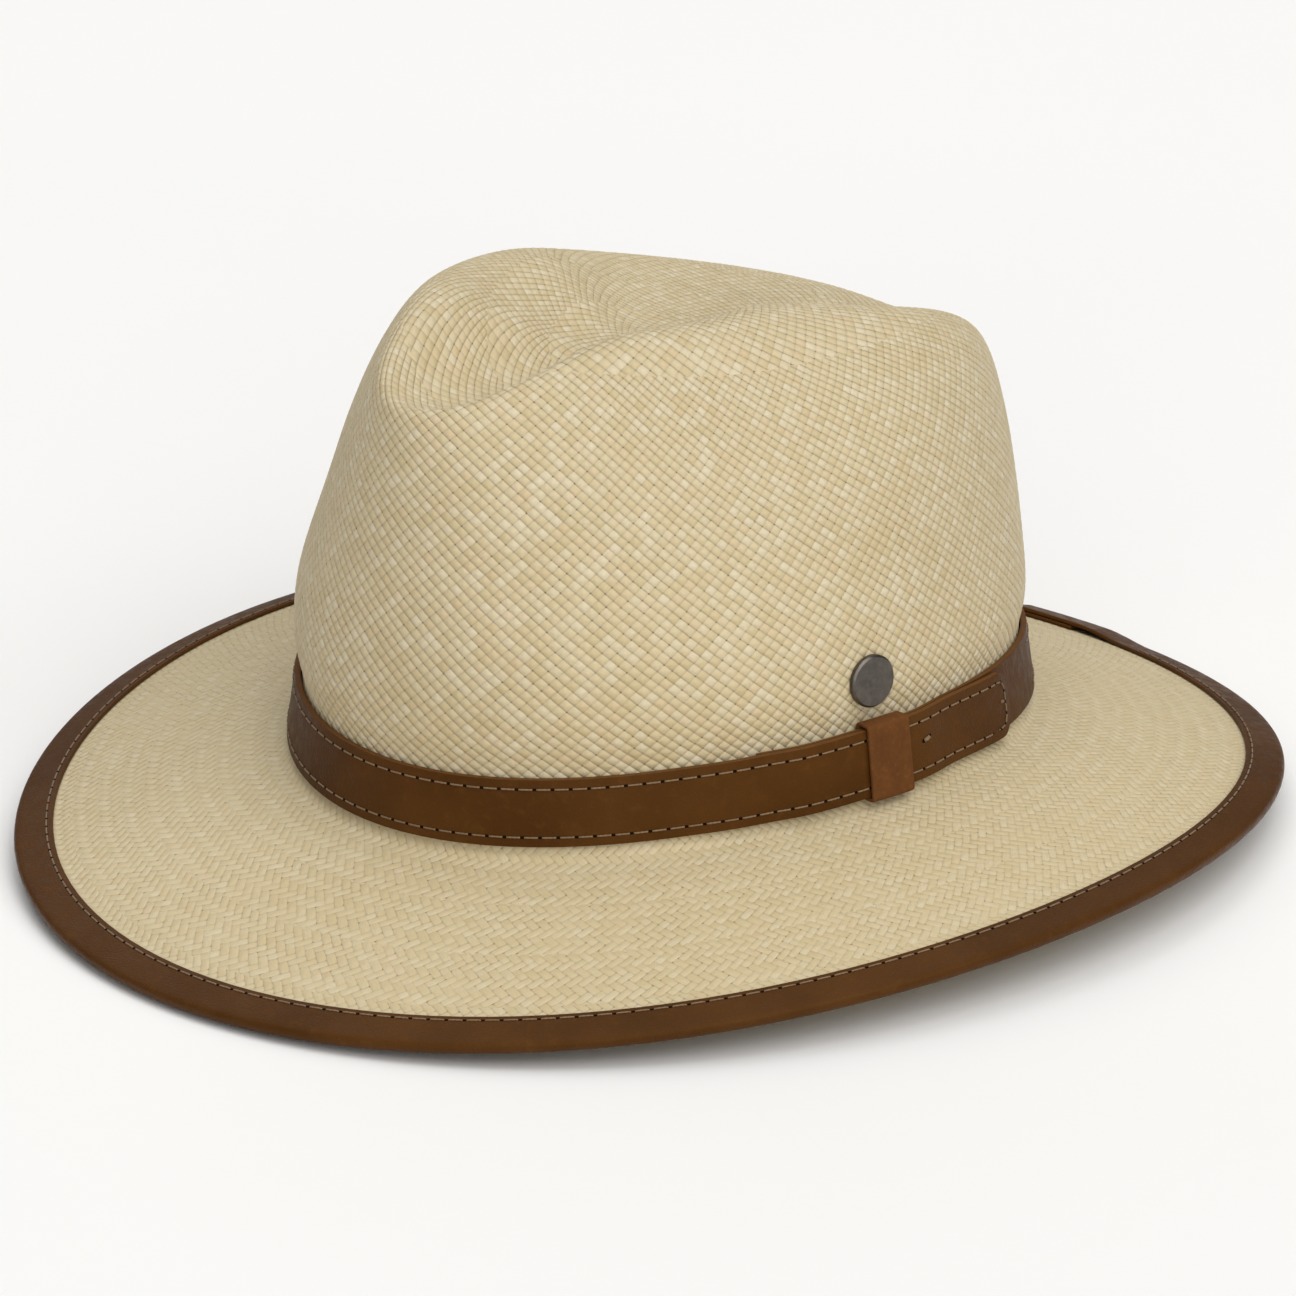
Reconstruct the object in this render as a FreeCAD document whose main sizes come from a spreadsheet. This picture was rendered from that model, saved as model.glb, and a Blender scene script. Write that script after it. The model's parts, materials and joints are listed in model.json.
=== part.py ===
"""Panama hat with a dented crown, a bound brim and a leather hatband, in millimetres.

The hat is laid out about its head oval: front towards -Y, the wearer's left towards +X, up +Z, with the
origin at the centre of the head opening.  Every piece then gets the same resting placement, which levels
the brim on the ground and puts the origin at the bottom centre of the whole hat.
"""
import FreeCAD, Part
import math
import os
import Sketcher

Vector = FreeCAD.Vector

DIMENSIONS = {
    # head oval, outside of the straw at the lower edge of the hatband
    "head_half_length": 100.7,
    "head_half_width": 86.6,
    "straw_thickness": 1.2,
    # height of the hatband's lower edge around the head: mean 0, fore-and-aft and side waves
    "band_rise_back": 1.35,
    "band_rise_side": 3.3,
    # the foot of the crown leans inward behind the hatband and meets the brim below it
    "band_lean": 0.136,
    "brim_root_drop": 2.4,
    # brim: width and height of its edge, as a mean and waves around the head
    "brim_width_mean": 68.1,
    "brim_width_back": -4.3,
    "brim_width_side": -0.3,
    "brim_width_third": 1.2,
    "brim_width_fourth": -0.4,
    "brim_edge_mean": -19.9,
    "brim_edge_back": 4.0,
    "brim_edge_side": 6.2,
    "brim_edge_third": 0.4,
    "brim_edge_fourth": -0.1,
    "brim_dish": 0.15,
    # the crown stands a little askew, as a hand-creased crown does
    "crown_reach": 110.0,
    "crown_shift": -2.2,
    "crown_tilt": 0.061,
    "crown_tilt_back": 0.064,
    "crown_floor_height": 94.7,
    # the wall is cinched behind the band's upper edge and swells a little above it
    "band_cinch": 1.0,
    "swell_inset": 0.2,
    "swell_rise": 25.0,
    "root_round": 6.0,
    "brim_edge_inset": 2.2,
    # leather edge binding
    "binding_thickness": 0.95,
    "binding_gap": 0.2,
    "binding_width_top": 10.3,
    "binding_width_under": 9.6,
    "binding_join_bearing": 88.5,
    "binding_join_overlap": 8.0,
    # leather hatband strap
    "strap_height": 16.8,
    "strap_foot": 0.8,
    "strap_thickness": 1.6,
    "strap_skived_thickness": 0.9,
    "strap_gap": 0.3,
    "hidden_end_bearing": -27.0,
    "layer_gap": 0.2,
    "tongue_bearing": 23.5,
    "tongue_round": 5.5,
    "tongue_sag": 0.5,
    "tack_diameter": 1.2,
    "tack_length": 5.6,
    "tack_proud": 0.2,
    "front_tack_bearing": 0.8,
    "front_tack_share": 0.15,
    "rear_tack_bearing": 20.6,
    "rear_tack_share": 0.1,
    # keeper loop
    "keeper_width_angle": 6.4,
    "keeper_bearing": -6.5,
    "keeper_gap": 0.4,
    "keeper_wall": 0.9,
    "keeper_face_wall": 1.0,
    "slide_gap": 0.3,
    "keeper_clearance_above": 0.5,
    "keeper_clearance_below": 0.6,
    "stitch_proud": 0.15,
    "keeper_round": 1.4,
    # stitching
    "thread_diameter": 0.7,
    "stitch_pitch": 4.5,
    "stitch_length": 3.3,
    "strap_stitch_margin": 2.4,
    "binding_stitch_margin": 1.5,
    "sweat_stitch_pitch": 6.0,
    # badge on the side of the crown
    "badge_diameter": 13.4,
    "badge_thickness": 1.6,
    "badge_bevel": 0.5,
    "badge_gap": 0.15,
    "washer_gap": 0.7,
    "prong_clinch": 0.6,
    "badge_bearing": -8.1,
    "badge_height": 32.3,
    "prong_width": 1.6,
    "prong_thickness": 0.4,
    "prong_spacing": 5.0,
    "washer_diameter": 9.0,
    "washer_thickness": 0.5,
    # sweatband inside the head opening
    "sweatband_thickness": 1.0,
    "sweatband_joint_gap": 0.8,
    "reed_radius": 0.8,
    "reed_inset": 2.4,
    "reed_rise": -2.4,
    "label_bearing": 50.0,
    "label_span": 18.5,
    "label_rise": 8.5,
    "label_height": 16.0,
    "label_gap": 0.3,
    "label_thickness": 0.4,
    "bow_loop_length": 9.0,
    "bow_loop_height": 5.5,
    "bow_thickness": 0.8,
}

# The crown is drawn as rings around the head, each given at six bearings from the front:
# front, 25, 50, 90 (the side), 135 and 180 degrees (the back).  Left and right are alike.
STATION_BEARINGS = (0.0, 25.0, 50.0, 90.0, 135.0, 180.0)
CROWN_RINGS = (
    ("low_wall", (98.7, 96.6, 90.6, 84.6, 90.9, 99.1), (40, 41, 42, 42, 41, 40)),
    ("mid_wall", (95.6, 90.2, 82.7, 81.7, 88.8, 96.6), (60, 61, 62, 62, 62, 60)),
    ("high_wall", (92.4, 84.1, 75.5, 78.0, 85.6, 93.4), (80, 83, 83.5, 84.5, 79, 75)),
    ("shoulder", (90.5, 77.0, 66.6, 67.3, 82.0, 89.4), (94.5, 100, 103, 104, 93, 85)),
    ("crest_outer", (89.0, 68.2, 57.1, 53.1, 76.1, 82.9), (102.5, 113, 116, 114, 100, 88.5)),
    ("crest_inner", (86.0, 59.8, 46.9, 39.6, 63.1, 72.8), (99.5, 113, 116.5, 115, 103, 91.5)),
    ("dent_slope", (70.6, 44.3, 33.5, 25.9, 43.6, 55.4), (96, 103, 106, 105, 99.5, 94)),
    ("dent_floor", (36.0, 24.0, 17.5, 14.0, 20.0, 28.0), (93.3, 93.6, 94.3, 95.6, 96.0, 95.4)),
)

POINTS_AROUND = 48
FRONT, BACK = -90.0, 90.0

doc = FreeCAD.newDocument("panama_hat")


# ---------------------------------------------------------------------------------------------- sheet
def make_sheet():
    sheet = doc.addObject("Spreadsheet::Sheet", "Dimensions")
    rows = list(DIMENSIONS.items())
    # the side of the head oval is an arc about this axis, and the keeper slides along it
    rows.append(("keeper_turn_radius", "=head_half_length ^ 2 / head_half_width"))
    rows.append(("keeper_axis_offset", "=head_half_length ^ 2 / head_half_width - head_half_width"))
    for ring, radii, heights in CROWN_RINGS:
        for bearing, radius, height in zip(STATION_BEARINGS, radii, heights):
            rows.append(("%s_radius_at_%d" % (ring, bearing), radius))
            rows.append(("%s_height_at_%d" % (ring, bearing), height))
    for number, (name, value) in enumerate(rows, start=1):
        sheet.set("A%d" % number, name)
        sheet.set("B%d" % number, str(value))
        sheet.setAlias("B%d" % number, name)
    doc.recompute()
    return sheet


SHEET = make_sheet()


def size(name):
    return float(getattr(SHEET, name))


# ----------------------------------------------------------------------------------- shape of the hat
def waves(theta, mean, back, side, third, fourth):
    return (mean + back * math.sin(theta) + side * math.cos(2 * theta)
            + third * math.sin(3 * theta) + fourth * math.cos(4 * theta))


def brim_width(theta):
    return waves(theta, *(size("brim_width_" + k) for k in ("mean", "back", "side", "third", "fourth")))


def brim_edge_height(theta):
    return waves(theta, *(size("brim_edge_" + k) for k in ("mean", "back", "side", "third", "fourth")))


def band_height(theta):
    return waves(theta, 0.0, size("band_rise_back"), size("band_rise_side"), 0.0, 0.0)


def oval(theta, offset=0.0):
    """Point of the head oval and its outward normal, moved outward by offset."""
    half_width, half_length = size("head_half_width"), size("head_half_length")
    outward = Vector(math.cos(theta) / half_width, math.sin(theta) / half_length, 0).normalize()
    point = Vector(half_width * math.cos(theta), half_length * math.sin(theta), 0)
    return point + outward * offset, outward


def wall_point(theta, offset, rise):
    """Point beside the foot of the crown: offset out of the straw, rise above the band's lower edge."""
    point, _ = oval(theta, offset - size("band_lean") * rise)
    return point + Vector(0, 0, band_height(theta) + rise)


def brim_point(theta, share, lift=0.0):
    """Point of the brim's upper face at a share of its width, lifted along the face's normal."""
    root = band_height(theta) - size("brim_root_drop")
    width, fall = brim_width(theta), brim_edge_height(theta) - root
    dish = size("brim_dish")
    point, outward = oval(theta, width * share)
    slope = fall / width * (1 - dish + 2 * dish * share)
    normal = (Vector(0, 0, 1) - outward * slope).normalize()
    height = root + fall * ((1 - dish) * share + dish * share * share)
    return point + Vector(0, 0, height) + normal * lift


def around(value_at_station):
    """Smooth periodic curve through the values at the six bearings, as a function of the bearing."""
    bearings = [-b for b in STATION_BEARINGS[:0:-1]] + list(STATION_BEARINGS[:-1])
    values = list(value_at_station[:0:-1]) + list(value_at_station[:-1])
    turns = [math.radians(b) for b in bearings]
    points = [Vector(value, math.cos(turn), math.sin(turn)) for value, turn in zip(values, turns)]
    curve = Part.BSplineCurve()
    curve.interpolate(Points=points, PeriodicFlag=True, Parameters=bearings + [180.0])
    return lambda bearing: curve.value(bearing).x


def askew(point):
    """The small sideways lean of the creased crown, growing with height."""
    reach = (max(point.z, 0.0) / size("crown_reach")) ** 2
    tilt = size("crown_tilt") + size("crown_tilt_back") * point.y / 100
    return point + Vector(size("crown_shift") * reach, 0, tilt * point.x * reach)


def crown_ring(name, thetas):
    radius = around([size("%s_radius_at_%d" % (name, b)) for b in STATION_BEARINGS])
    height = around([size("%s_height_at_%d" % (name, b)) for b in STATION_BEARINGS])
    ring = []
    for theta in thetas:
        foot, _ = oval(theta)
        bearing = math.degrees(math.atan2(foot.x, -foot.y))
        turn = math.radians(bearing)
        reach = radius(bearing)
        ring.append(askew(Vector(reach * math.sin(turn), -reach * math.cos(turn), height(bearing))))
    return ring


# ------------------------------------------------------------------------------------ surface helpers
def spline_row(points, parameters, closed):
    curve = Part.BSplineCurve()
    curve.interpolate(Points=points, PeriodicFlag=closed, Parameters=parameters)
    return curve


def skin(rings, parameters, closed):
    """Face through rings of points; across the rings it is a clamped spline with the rings as poles.

    A ring of one point is a pole where the face closes, such as the centre of the crown.
    """
    rows = [spline_row(ring, parameters, closed) for ring in rings if len(ring) > 1]
    columns = [row.getPoles() for row in rows]
    columns += [ring * len(columns[0]) for ring in rings if len(ring) == 1]
    degree = 3 if len(rings) > 3 else 1
    spans = len(rings) - degree
    multiplicities = [degree + 1] + [1] * (spans - 1) + [degree + 1]
    poles = [list(across) for across in zip(*columns)]
    surface = Part.BSplineSurface()
    surface.buildFromPolesMultsKnots(poles, rows[0].getMultiplicities(), multiplicities,
                                     rows[0].getKnots(), [float(n) for n in range(spans + 1)],
                                     closed, False, 3, degree)
    return surface.toShape()


def end_cap(outer_column, inner_column):
    """Face that closes the end of an open strip, between the same column of its two skins."""
    degree = 3 if len(outer_column) > 3 else 1
    spans = len(outer_column) - degree
    multiplicities = [degree + 1] + [1] * (spans - 1) + [degree + 1]
    surface = Part.BSplineSurface()
    surface.buildFromPolesMultsKnots([outer_column, inner_column], [2, 2], multiplicities,
                                     [0.0, 1.0], [float(n) for n in range(spans + 1)],
                                     False, False, 1, degree)
    return surface.toShape()


def sewn(faces):
    shell = Part.makeShell(faces)
    shell.sewShape()
    solid = Part.makeSolid(shell)
    if solid.Volume < 0:
        solid.reverse()
    return solid


def slab(outer, inner, parameters, closed):
    """Solid between two skins drawn as matching rings."""
    faces = [skin(outer, parameters, closed), skin(inner, parameters, closed)]
    faces += [skin([outer[index], inner[index]], parameters, closed) for index in (0, -1)]
    if not closed:
        for index in (0, -1):
            faces.append(end_cap([ring[index] for ring in outer], [ring[index] for ring in inner]))
    return sewn(faces)


def offset_rings(rings, distance, closed):
    """The same rings moved along the mitred normal of the surface that they draw."""
    count = len(rings[0])
    moved = [[] for _ in rings]
    for k in range(count):
        left, right = (k - 1) % count, (k + 1) % count
        if not closed:
            left, right = max(k - 1, 0), min(k + 1, count - 1)
        normals = []
        for low, high in zip(rings, rings[1:]):
            along = (low[right] - low[left]) + (high[right] - high[left])
            normals.append(along.cross(high[k] - low[k]).normalize())
        for index, ring in enumerate(rings):
            first = normals[max(index - 1, 0)]
            second = normals[min(index, len(normals) - 1)]
            mitre = (first + second) * (1 / (1 + first.dot(second)))
            moved[index].append(ring[k] + mitre * distance)
    return moved


def ease(value, start, end, low, high):
    """Smooth step from low to high as value goes from start to end."""
    share = min(max((value - start) / (end - start), 0.0), 1.0)
    return low + (high - low) * share * share * (3 - 2 * share)


def spaced(start, end, count):
    return [start + (end - start) * n / (count - 1) for n in range(count)]


# --------------------------------------------------------------------------------------------- pieces
PIECES = []


def add_piece(label, shape):
    piece = doc.addObject("Part::Feature", label)
    piece.Label = label
    piece.Shape = shape
    PIECES.append(piece)
    return piece


def woven_rings(bearings):
    """Outer rings of the straw from the brim's edge inward and up over the crown."""
    thetas = [math.radians(b) for b in bearings]
    hidden_edge = size("brim_edge_inset")
    rings = [[brim_point(t, 1 - hidden_edge / brim_width(t)) for t in thetas]]
    for share in (0.78, 0.53, 0.3):
        rings.append([brim_point(t, share) for t in thetas])
    rings.append([brim_point(t, size("root_round") / brim_width(t)) for t in thetas])
    rings.append([brim_point(t, 0.0) for t in thetas])
    for rise, offset in ((3.2, 0.0), (11.0, 0.0), (18.5, -size("band_cinch"))):
        rings.append([wall_point(t, offset, rise) for t in thetas])
    swell = []
    for theta in thetas:
        foot, _ = oval(theta, -size("swell_inset"))
        swell.append(foot + Vector(0, 0, band_height(theta) + size("swell_rise")))
    rings.append(swell)
    return rings + [crown_ring(name, thetas) for name, _, _ in CROWN_RINGS]


def make_woven_body():
    """Crown and brim, woven in one piece of toquilla straw."""
    bearings = [360.0 * n / POINTS_AROUND for n in range(POINTS_AROUND)]
    parameters = bearings + [360.0]
    outer = woven_rings(bearings)
    inner = offset_rings(outer, -size("straw_thickness"), True)
    centre = askew(Vector(0, 0, size("crown_floor_height")))
    under_centre = centre - Vector(0, 0, size("straw_thickness"))
    outside = skin(outer + [[centre]], parameters, True)
    inside = skin(inner + [[under_centre]], parameters, True)
    rim = skin([outer[0], inner[0]], parameters, True)
    add_piece("woven_body", sewn([outside, inside, rim]))
    return outside.Surface


def crown_spot(surface, bearing, height):
    """Point and outward normal of the crown's wall at a bearing of the oval and a height."""
    foot, top = 5.0, 13.0
    for _ in range(40):
        middle = (foot + top) / 2
        if surface.value(bearing % 360.0, middle).z < height:
            foot = middle
        else:
            top = middle
    point = surface.value(bearing % 360.0, foot)
    normal = surface.normal(bearing % 360.0, foot)
    if normal.dot(Vector(point.x, point.y, 0)) < 0:
        normal = -normal
    return point, normal


# ------------------------------------------------------------------------------------ stitched threads
def stitch(start, end):
    radius = size("thread_diameter") / 2
    return Part.makeCylinder(radius, (end - start).Length, start, end - start)


def stitch_depth():
    """How deep a stitch's centre line lies below the face that it stands proud of."""
    return size("thread_diameter") / 2 - size("stitch_proud")


def stitch_row(point_at, start, end, pitch, length):
    """Stitches of one length, evenly pitched along the curve point_at between two bearings."""
    steps = spaced(start, end, int(abs(end - start) * 2) + 2)
    travelled = [0.0]
    for low, high in zip(steps, steps[1:]):
        travelled.append(travelled[-1] + (point_at(high) - point_at(low)).Length)

    def bearing_at(distance):
        for index in range(1, len(steps)):
            if travelled[index] >= distance:
                share = (distance - travelled[index - 1]) / (travelled[index] - travelled[index - 1])
                return steps[index - 1] + (steps[index] - steps[index - 1]) * share
        return steps[-1]

    count = int(travelled[-1] / pitch)
    spacing = travelled[-1] / count
    slack = (spacing - length * spacing / pitch) / 2
    row = []
    for n in range(count):
        begin = point_at(bearing_at(n * spacing + slack))
        finish = point_at(bearing_at((n + 1) * spacing - slack))
        row.append(stitch(begin, finish))
    return row


# ---------------------------------------------------------------------------------------- edge binding
def binding_ring(bearings, inset, level):
    """Ring of the binding at a distance in from the brim's edge and a level off the straw's middle."""
    start, overlap = size("binding_join_bearing"), size("binding_join_overlap")
    step = size("binding_thickness") + size("binding_gap")
    middle = size("straw_thickness") / 2
    ring = []
    for bearing in bearings:
        theta = math.radians(bearing)
        over = ease(bearing, start + 352, start + 360 - 1.5, 0.0, step)
        width = brim_width(theta)
        lifted = level + math.copysign(over, level) - middle
        ring.append(brim_point(theta, 1 - (inset - over * (inset < 1)) / width, lifted))
    return ring


def make_binding():
    """Leather strip folded over the brim's edge, its ends overlapping near the back."""
    start = size("binding_join_bearing")
    finish = start + 360 + size("binding_join_overlap")
    bearings = spaced(start, start + 350, 71) + spaced(start + 351, finish, 18)
    top, under = size("binding_width_top"), size("binding_width_under")
    inner_level = size("straw_thickness") / 2 + size("binding_gap")
    outer_level = inner_level + size("binding_thickness")
    # the flat part of each flap ends at its middle, and the turn over the edge starts at the bend
    middle, bend = 6.0, 2.6

    def wrapped(fold, level):
        section = [(top, 1), (middle, 1), (bend, 1), (fold, 1), (fold, -1), (bend, -1), (middle, -1), (under, -1)]
        return [binding_ring(bearings, inset, side * level) for inset, side in section]

    outer = wrapped(0.0, outer_level)
    inner = wrapped(size("binding_thickness"), inner_level)
    binding = add_piece("edge_binding", slab(outer, inner, bearings, False))

    level = outer_level - stitch_depth()
    margin = size("binding_stitch_margin")
    pitch, length = size("stitch_pitch"), size("stitch_length")
    stitches = []
    for inset, side in ((top - margin, 1), (under - margin, -1)):
        def seam(bearing, inset=inset, side=side):
            return binding_ring([bearing], inset, side * level)[0]
        stitches += stitch_row(seam, start + 10, start + 350, pitch, length)
    add_piece("binding_stitching", Part.makeCompound(stitches))
    return binding


# ------------------------------------------------------------------------------------- hatband strap
def under_layer(bearing):
    """Offsets of the strap's inner and outer face where it lies on the straw."""
    rest, skived = size("strap_gap"), size("strap_skived_thickness")
    raised = size("keeper_gap") + size("keeper_wall") + size("slide_gap")
    front_end, back_fall = size("hidden_end_bearing"), -0.5
    front_rise = front_end + 7.5
    if bearing < (front_rise + back_fall) / 2:
        inner = ease(bearing, front_end, front_rise, rest, raised)
    else:
        inner = ease(bearing, back_fall, back_fall + 8.5, raised, rest)
    return inner, inner + ease(bearing, 10, 22, skived, size("strap_thickness"))


def strap_layer(bearing):
    """Offsets of the strap's two faces along its length, from the hidden end to the tongue's tip."""
    if bearing < 180:
        return under_layer(bearing)
    rest, gap, thickness = size("strap_gap"), size("layer_gap"), size("strap_thickness")
    hidden_end = size("hidden_end_bearing") + 360
    over_end = under_layer(size("hidden_end_bearing"))[1] + gap
    if bearing < hidden_end:
        inner = ease(bearing, hidden_end - 13.5, hidden_end, rest, over_end)
    else:
        inner = under_layer(bearing - 360)[1] + gap
    return inner, inner + thickness


def strap_half_height(bearing):
    """Half the strap's height, rounded off at the tongue's tip."""
    half, curve = size("strap_height") / 2, size("tongue_round")
    to_tip = math.radians(size("tongue_bearing") + 360 - bearing) * size("head_half_length")
    if to_tip >= curve:
        return half
    return half - curve + math.sqrt(max(curve ** 2 - (curve - to_tip) ** 2, 0.0))


def strap_middle(bearing):
    """Rise of the strap's middle line; the tongue sags a little towards its tip."""
    sag = ease(bearing, 366, 383, 0.0, size("tongue_sag"))
    return size("strap_foot") + size("strap_height") / 2 - sag


def strap_point(bearing, face, share):
    """Point on the strap: face 0 inner, 1 outer; share -1 lower edge, +1 upper edge."""
    theta = math.radians(bearing)
    rise = strap_middle(bearing) + share * strap_half_height(bearing)
    return wall_point(theta, strap_layer(bearing)[face], rise)


def make_strap():
    """One long strap round the crown; its tongue lies over its hidden end and through the keeper."""
    tip = size("tongue_bearing") + 360
    bearings = (spaced(size("hidden_end_bearing"), -0.5, 14) + spaced(1.5, 25.5, 9) + spaced(30, 312, 48)
                + spaced(316, 359, 22) + spaced(361.5, tip - 5, 7) + spaced(tip - 4, tip, 9))
    outer = [[strap_point(b, 1, share) for b in bearings] for share in (-1, 1)]
    inner = [[strap_point(b, 0, share) for b in bearings] for share in (-1, 1)]
    add_piece("hatband_strap", slab(outer, inner, bearings, False))

    margin = size("strap_stitch_margin")
    pitch, length = size("stitch_pitch"), size("stitch_length")
    for label, side in (("strap_upper_stitching", 1), ("strap_lower_stitching", -1)):
        def seam(bearing, side=side):
            half = strap_half_height(min(bearing + 1.4, tip))
            offset = strap_layer(bearing)[1] - stitch_depth()
            rise = strap_middle(bearing) + side * (half - margin)
            return wall_point(math.radians(bearing), offset, rise)
        row = stitch_row(seam, size("tongue_bearing") + 3, tip - 1.6, pitch, length)
        add_piece(label, Part.makeCompound(row))


def make_tacks():
    """Two thread knots that tack the tongue through the strap to the straw."""
    for label, bearing, share in (("front_tack", "front_tack_bearing", "front_tack_share"),
                                  ("rear_tack", "rear_tack_bearing", "rear_tack_share")):
        theta = math.radians(size(bearing))
        head = strap_point(size(bearing) + 360, 1, size(share))
        _, outward = oval(theta)
        tack = doc.addObject("Part::Cylinder", label)
        tack.Label = label
        tack.setExpression("Radius", "Dimensions.tack_diameter / 2")
        tack.setExpression("Height", "Dimensions.tack_length")
        sunk = head - outward * (size("tack_length") - size("tack_proud"))
        tack.Placement = FreeCAD.Placement(sunk, FreeCAD.Rotation(Vector(0, 0, 1), outward))
        PIECES.append(tack)


# --------------------------------------------------------------------------------------- keeper loop
def cone_wedge(name, offset, below, above):
    """Wedge of a cone about the keeper's turning axis, its face offset from the straw's leaning wall."""
    cone = doc.addObject("Part::Cone", name)
    radius = "Dimensions.keeper_turn_radius + %s - Dimensions.band_lean * (Dimensions.strap_foot + %s)"
    cone.setExpression("Radius1", radius % (offset, "0 - (" + below + ")"))
    cone.setExpression("Radius2", radius % (offset, above))
    cone.setExpression("Height", "%s + %s" % (above, below))
    cone.setExpression("Angle", "Dimensions.keeper_width_angle")
    return cone


def cut(name, base, tool):
    feature = doc.addObject("Part::Cut", name)
    feature.Base = base
    feature.Tool = tool
    return feature


def make_keeper():
    """Leather loop around both layers of the strap, free to slide along it."""
    dims = "Dimensions."
    back = dims + "keeper_gap"
    back_inside = back + " + " + dims + "keeper_wall"
    contents = ("slide_gap * 2", "strap_skived_thickness", "layer_gap", "strap_thickness",
                "stitch_proud")
    face_inside = back_inside + "".join(" + " + dims + item for item in contents)
    face = face_inside + " + " + dims + "keeper_face_wall"
    inner_below = dims + "keeper_clearance_below"
    inner_above = dims + "strap_height + " + dims + "keeper_clearance_above"
    outer_below = inner_below + " + " + dims + "keeper_wall"
    outer_above = inner_above + " + " + dims + "keeper_wall"
    block = cut("keeper_block", cone_wedge("keeper_outside", face, outer_below, outer_above),
                cone_wedge("keeper_hollow", back, outer_below, outer_above))
    window = cut("keeper_window", cone_wedge("window_outside", face_inside, inner_below, inner_above),
                 cone_wedge("window_hollow", back_inside, inner_below, inner_above))
    lift = FreeCAD.Placement(Vector(0, 0, size("keeper_wall")), FreeCAD.Rotation())
    for cone in (window.Base, window.Tool):
        cone.Placement = lift
    loop = cut("keeper_loop", block, window)
    doc.recompute()
    rounded = doc.addObject("Part::Fillet", "strap_keeper")
    rounded.Label = "strap_keeper"
    rounded.Base = loop
    outer_edges = []
    box = loop.Shape.BoundBox
    for index, edge in enumerate(loop.Shape.Edges, start=1):
        level = edge.BoundBox
        is_arc = level.ZLength < 0.01 and level.YLength > 5
        if is_arc and min(abs(level.ZMin - box.ZMin), abs(level.ZMax - box.ZMax)) < 0.01:
            outer_edges.append((index, size("keeper_round"), size("keeper_round")))
    rounded.Edges = outer_edges
    doc.recompute()
    theta = math.radians(size("keeper_bearing"))
    axis = Vector(-size("keeper_axis_offset"), 0, 0)
    from_axis = oval(theta)[0] - axis
    turn = math.degrees(math.atan2(from_axis.y, from_axis.x)) - size("keeper_width_angle") / 2
    foot = band_height(theta) + size("strap_foot") - size("keeper_clearance_below") - size("keeper_wall")
    turned = FreeCAD.Rotation(Vector(0, 0, 1), turn)
    rounded.Placement = FreeCAD.Placement(axis + Vector(0, 0, foot), turned)
    PIECES.append(rounded)


# ---------------------------------------------------------------------------------------------- badge
def origin_plane(body, role):
    return [feature for feature in body.Origin.OriginFeatures if feature.Role == role][0]


def disc_body(label, diameter, thickness, bevel=None):
    """Flat disc, its upper rim bevelled where a bevel is given."""
    body = doc.addObject("PartDesign::Body", label)
    body.Label = label
    sketch = body.newObject("Sketcher::SketchObject", label + "_outline")
    sketch.AttachmentSupport = (origin_plane(body, "XY_Plane"), [""])
    sketch.MapMode = "FlatFace"
    sketch.addGeometry(Part.Circle(Vector(0, 0, 0), Vector(0, 0, 1), size(diameter) / 2), False)
    sketch.addConstraint(Sketcher.Constraint("Coincident", 0, 3, -1, 1))
    rim = sketch.addConstraint(Sketcher.Constraint("Diameter", 0, size(diameter)))
    sketch.setExpression("Constraints[%d]" % rim, "Dimensions." + diameter)
    pad = body.newObject("PartDesign::Pad", label + "_pad")
    pad.Profile = sketch
    pad.setExpression("Length", "Dimensions." + thickness)
    doc.recompute()
    if bevel:
        rim_edge = [n for n, edge in enumerate(pad.Shape.Edges, start=1)
                    if edge.BoundBox.ZMin > size(thickness) / 2]
        chamfer = body.newObject("PartDesign::Chamfer", label + "_bevel")
        chamfer.Base = (pad, ["Edge%d" % n for n in rim_edge])
        chamfer.setExpression("Size", "Dimensions." + bevel)
        doc.recompute()
    return body


def make_badge(surface):
    """Plain metal disc on the side of the crown, held by two prongs through the straw and a washer."""
    point, normal = crown_spot(surface, size("badge_bearing"), size("badge_height"))
    side = Vector(0, 0, 1).cross(normal).normalize()
    facing = FreeCAD.Rotation(side, normal.cross(side), normal, "ZXY")

    def placed(level):
        return FreeCAD.Placement(point + normal * level, facing)

    gap, straw = size("badge_gap"), size("straw_thickness")
    badge = disc_body("badge", "badge_diameter", "badge_thickness", "badge_bevel")
    badge.Placement = placed(gap)
    washer = disc_body("badge_washer", "washer_diameter", "washer_thickness")
    washer_level = -straw - size("washer_gap") - size("washer_thickness")
    washer.Placement = placed(washer_level)
    prongs = []
    reach = gap - washer_level + size("prong_clinch")
    for offset in (-size("prong_spacing"), size("prong_spacing")):
        corner = Vector(offset / 2 - size("prong_width") / 2, -size("prong_thickness") / 2, gap - reach)
        prongs.append(Part.makeBox(size("prong_width"), size("prong_thickness"), reach, corner))
    prong_piece = add_piece("badge_prongs", Part.makeCompound(prongs))
    prong_piece.Placement = placed(0.0)
    PIECES.extend([badge, washer])


# ------------------------------------------------------------------------------------------ sweatband
SWEAT_SECTION = ((-1.2, 1.9), (9.0, 3.5), (19.0, 5.0), (31.5, 5.0))


def sweat_point(theta, inset, rise):
    return oval(theta, -inset)[0] + Vector(0, 0, band_height(theta) + rise)


def sweat_inset(rise):
    """Inset of the sweatband's outer face at a rise, along the section's spline."""
    curve = Part.BezierCurve()
    curve.setPoles([Vector(up, inset, 0) for up, inset in SWEAT_SECTION])
    low, high = 0.0, 1.0
    for _ in range(30):
        middle = (low + high) / 2
        if curve.value(middle).x < rise:
            low = middle
        else:
            high = middle
    return curve.value(low).y


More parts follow.
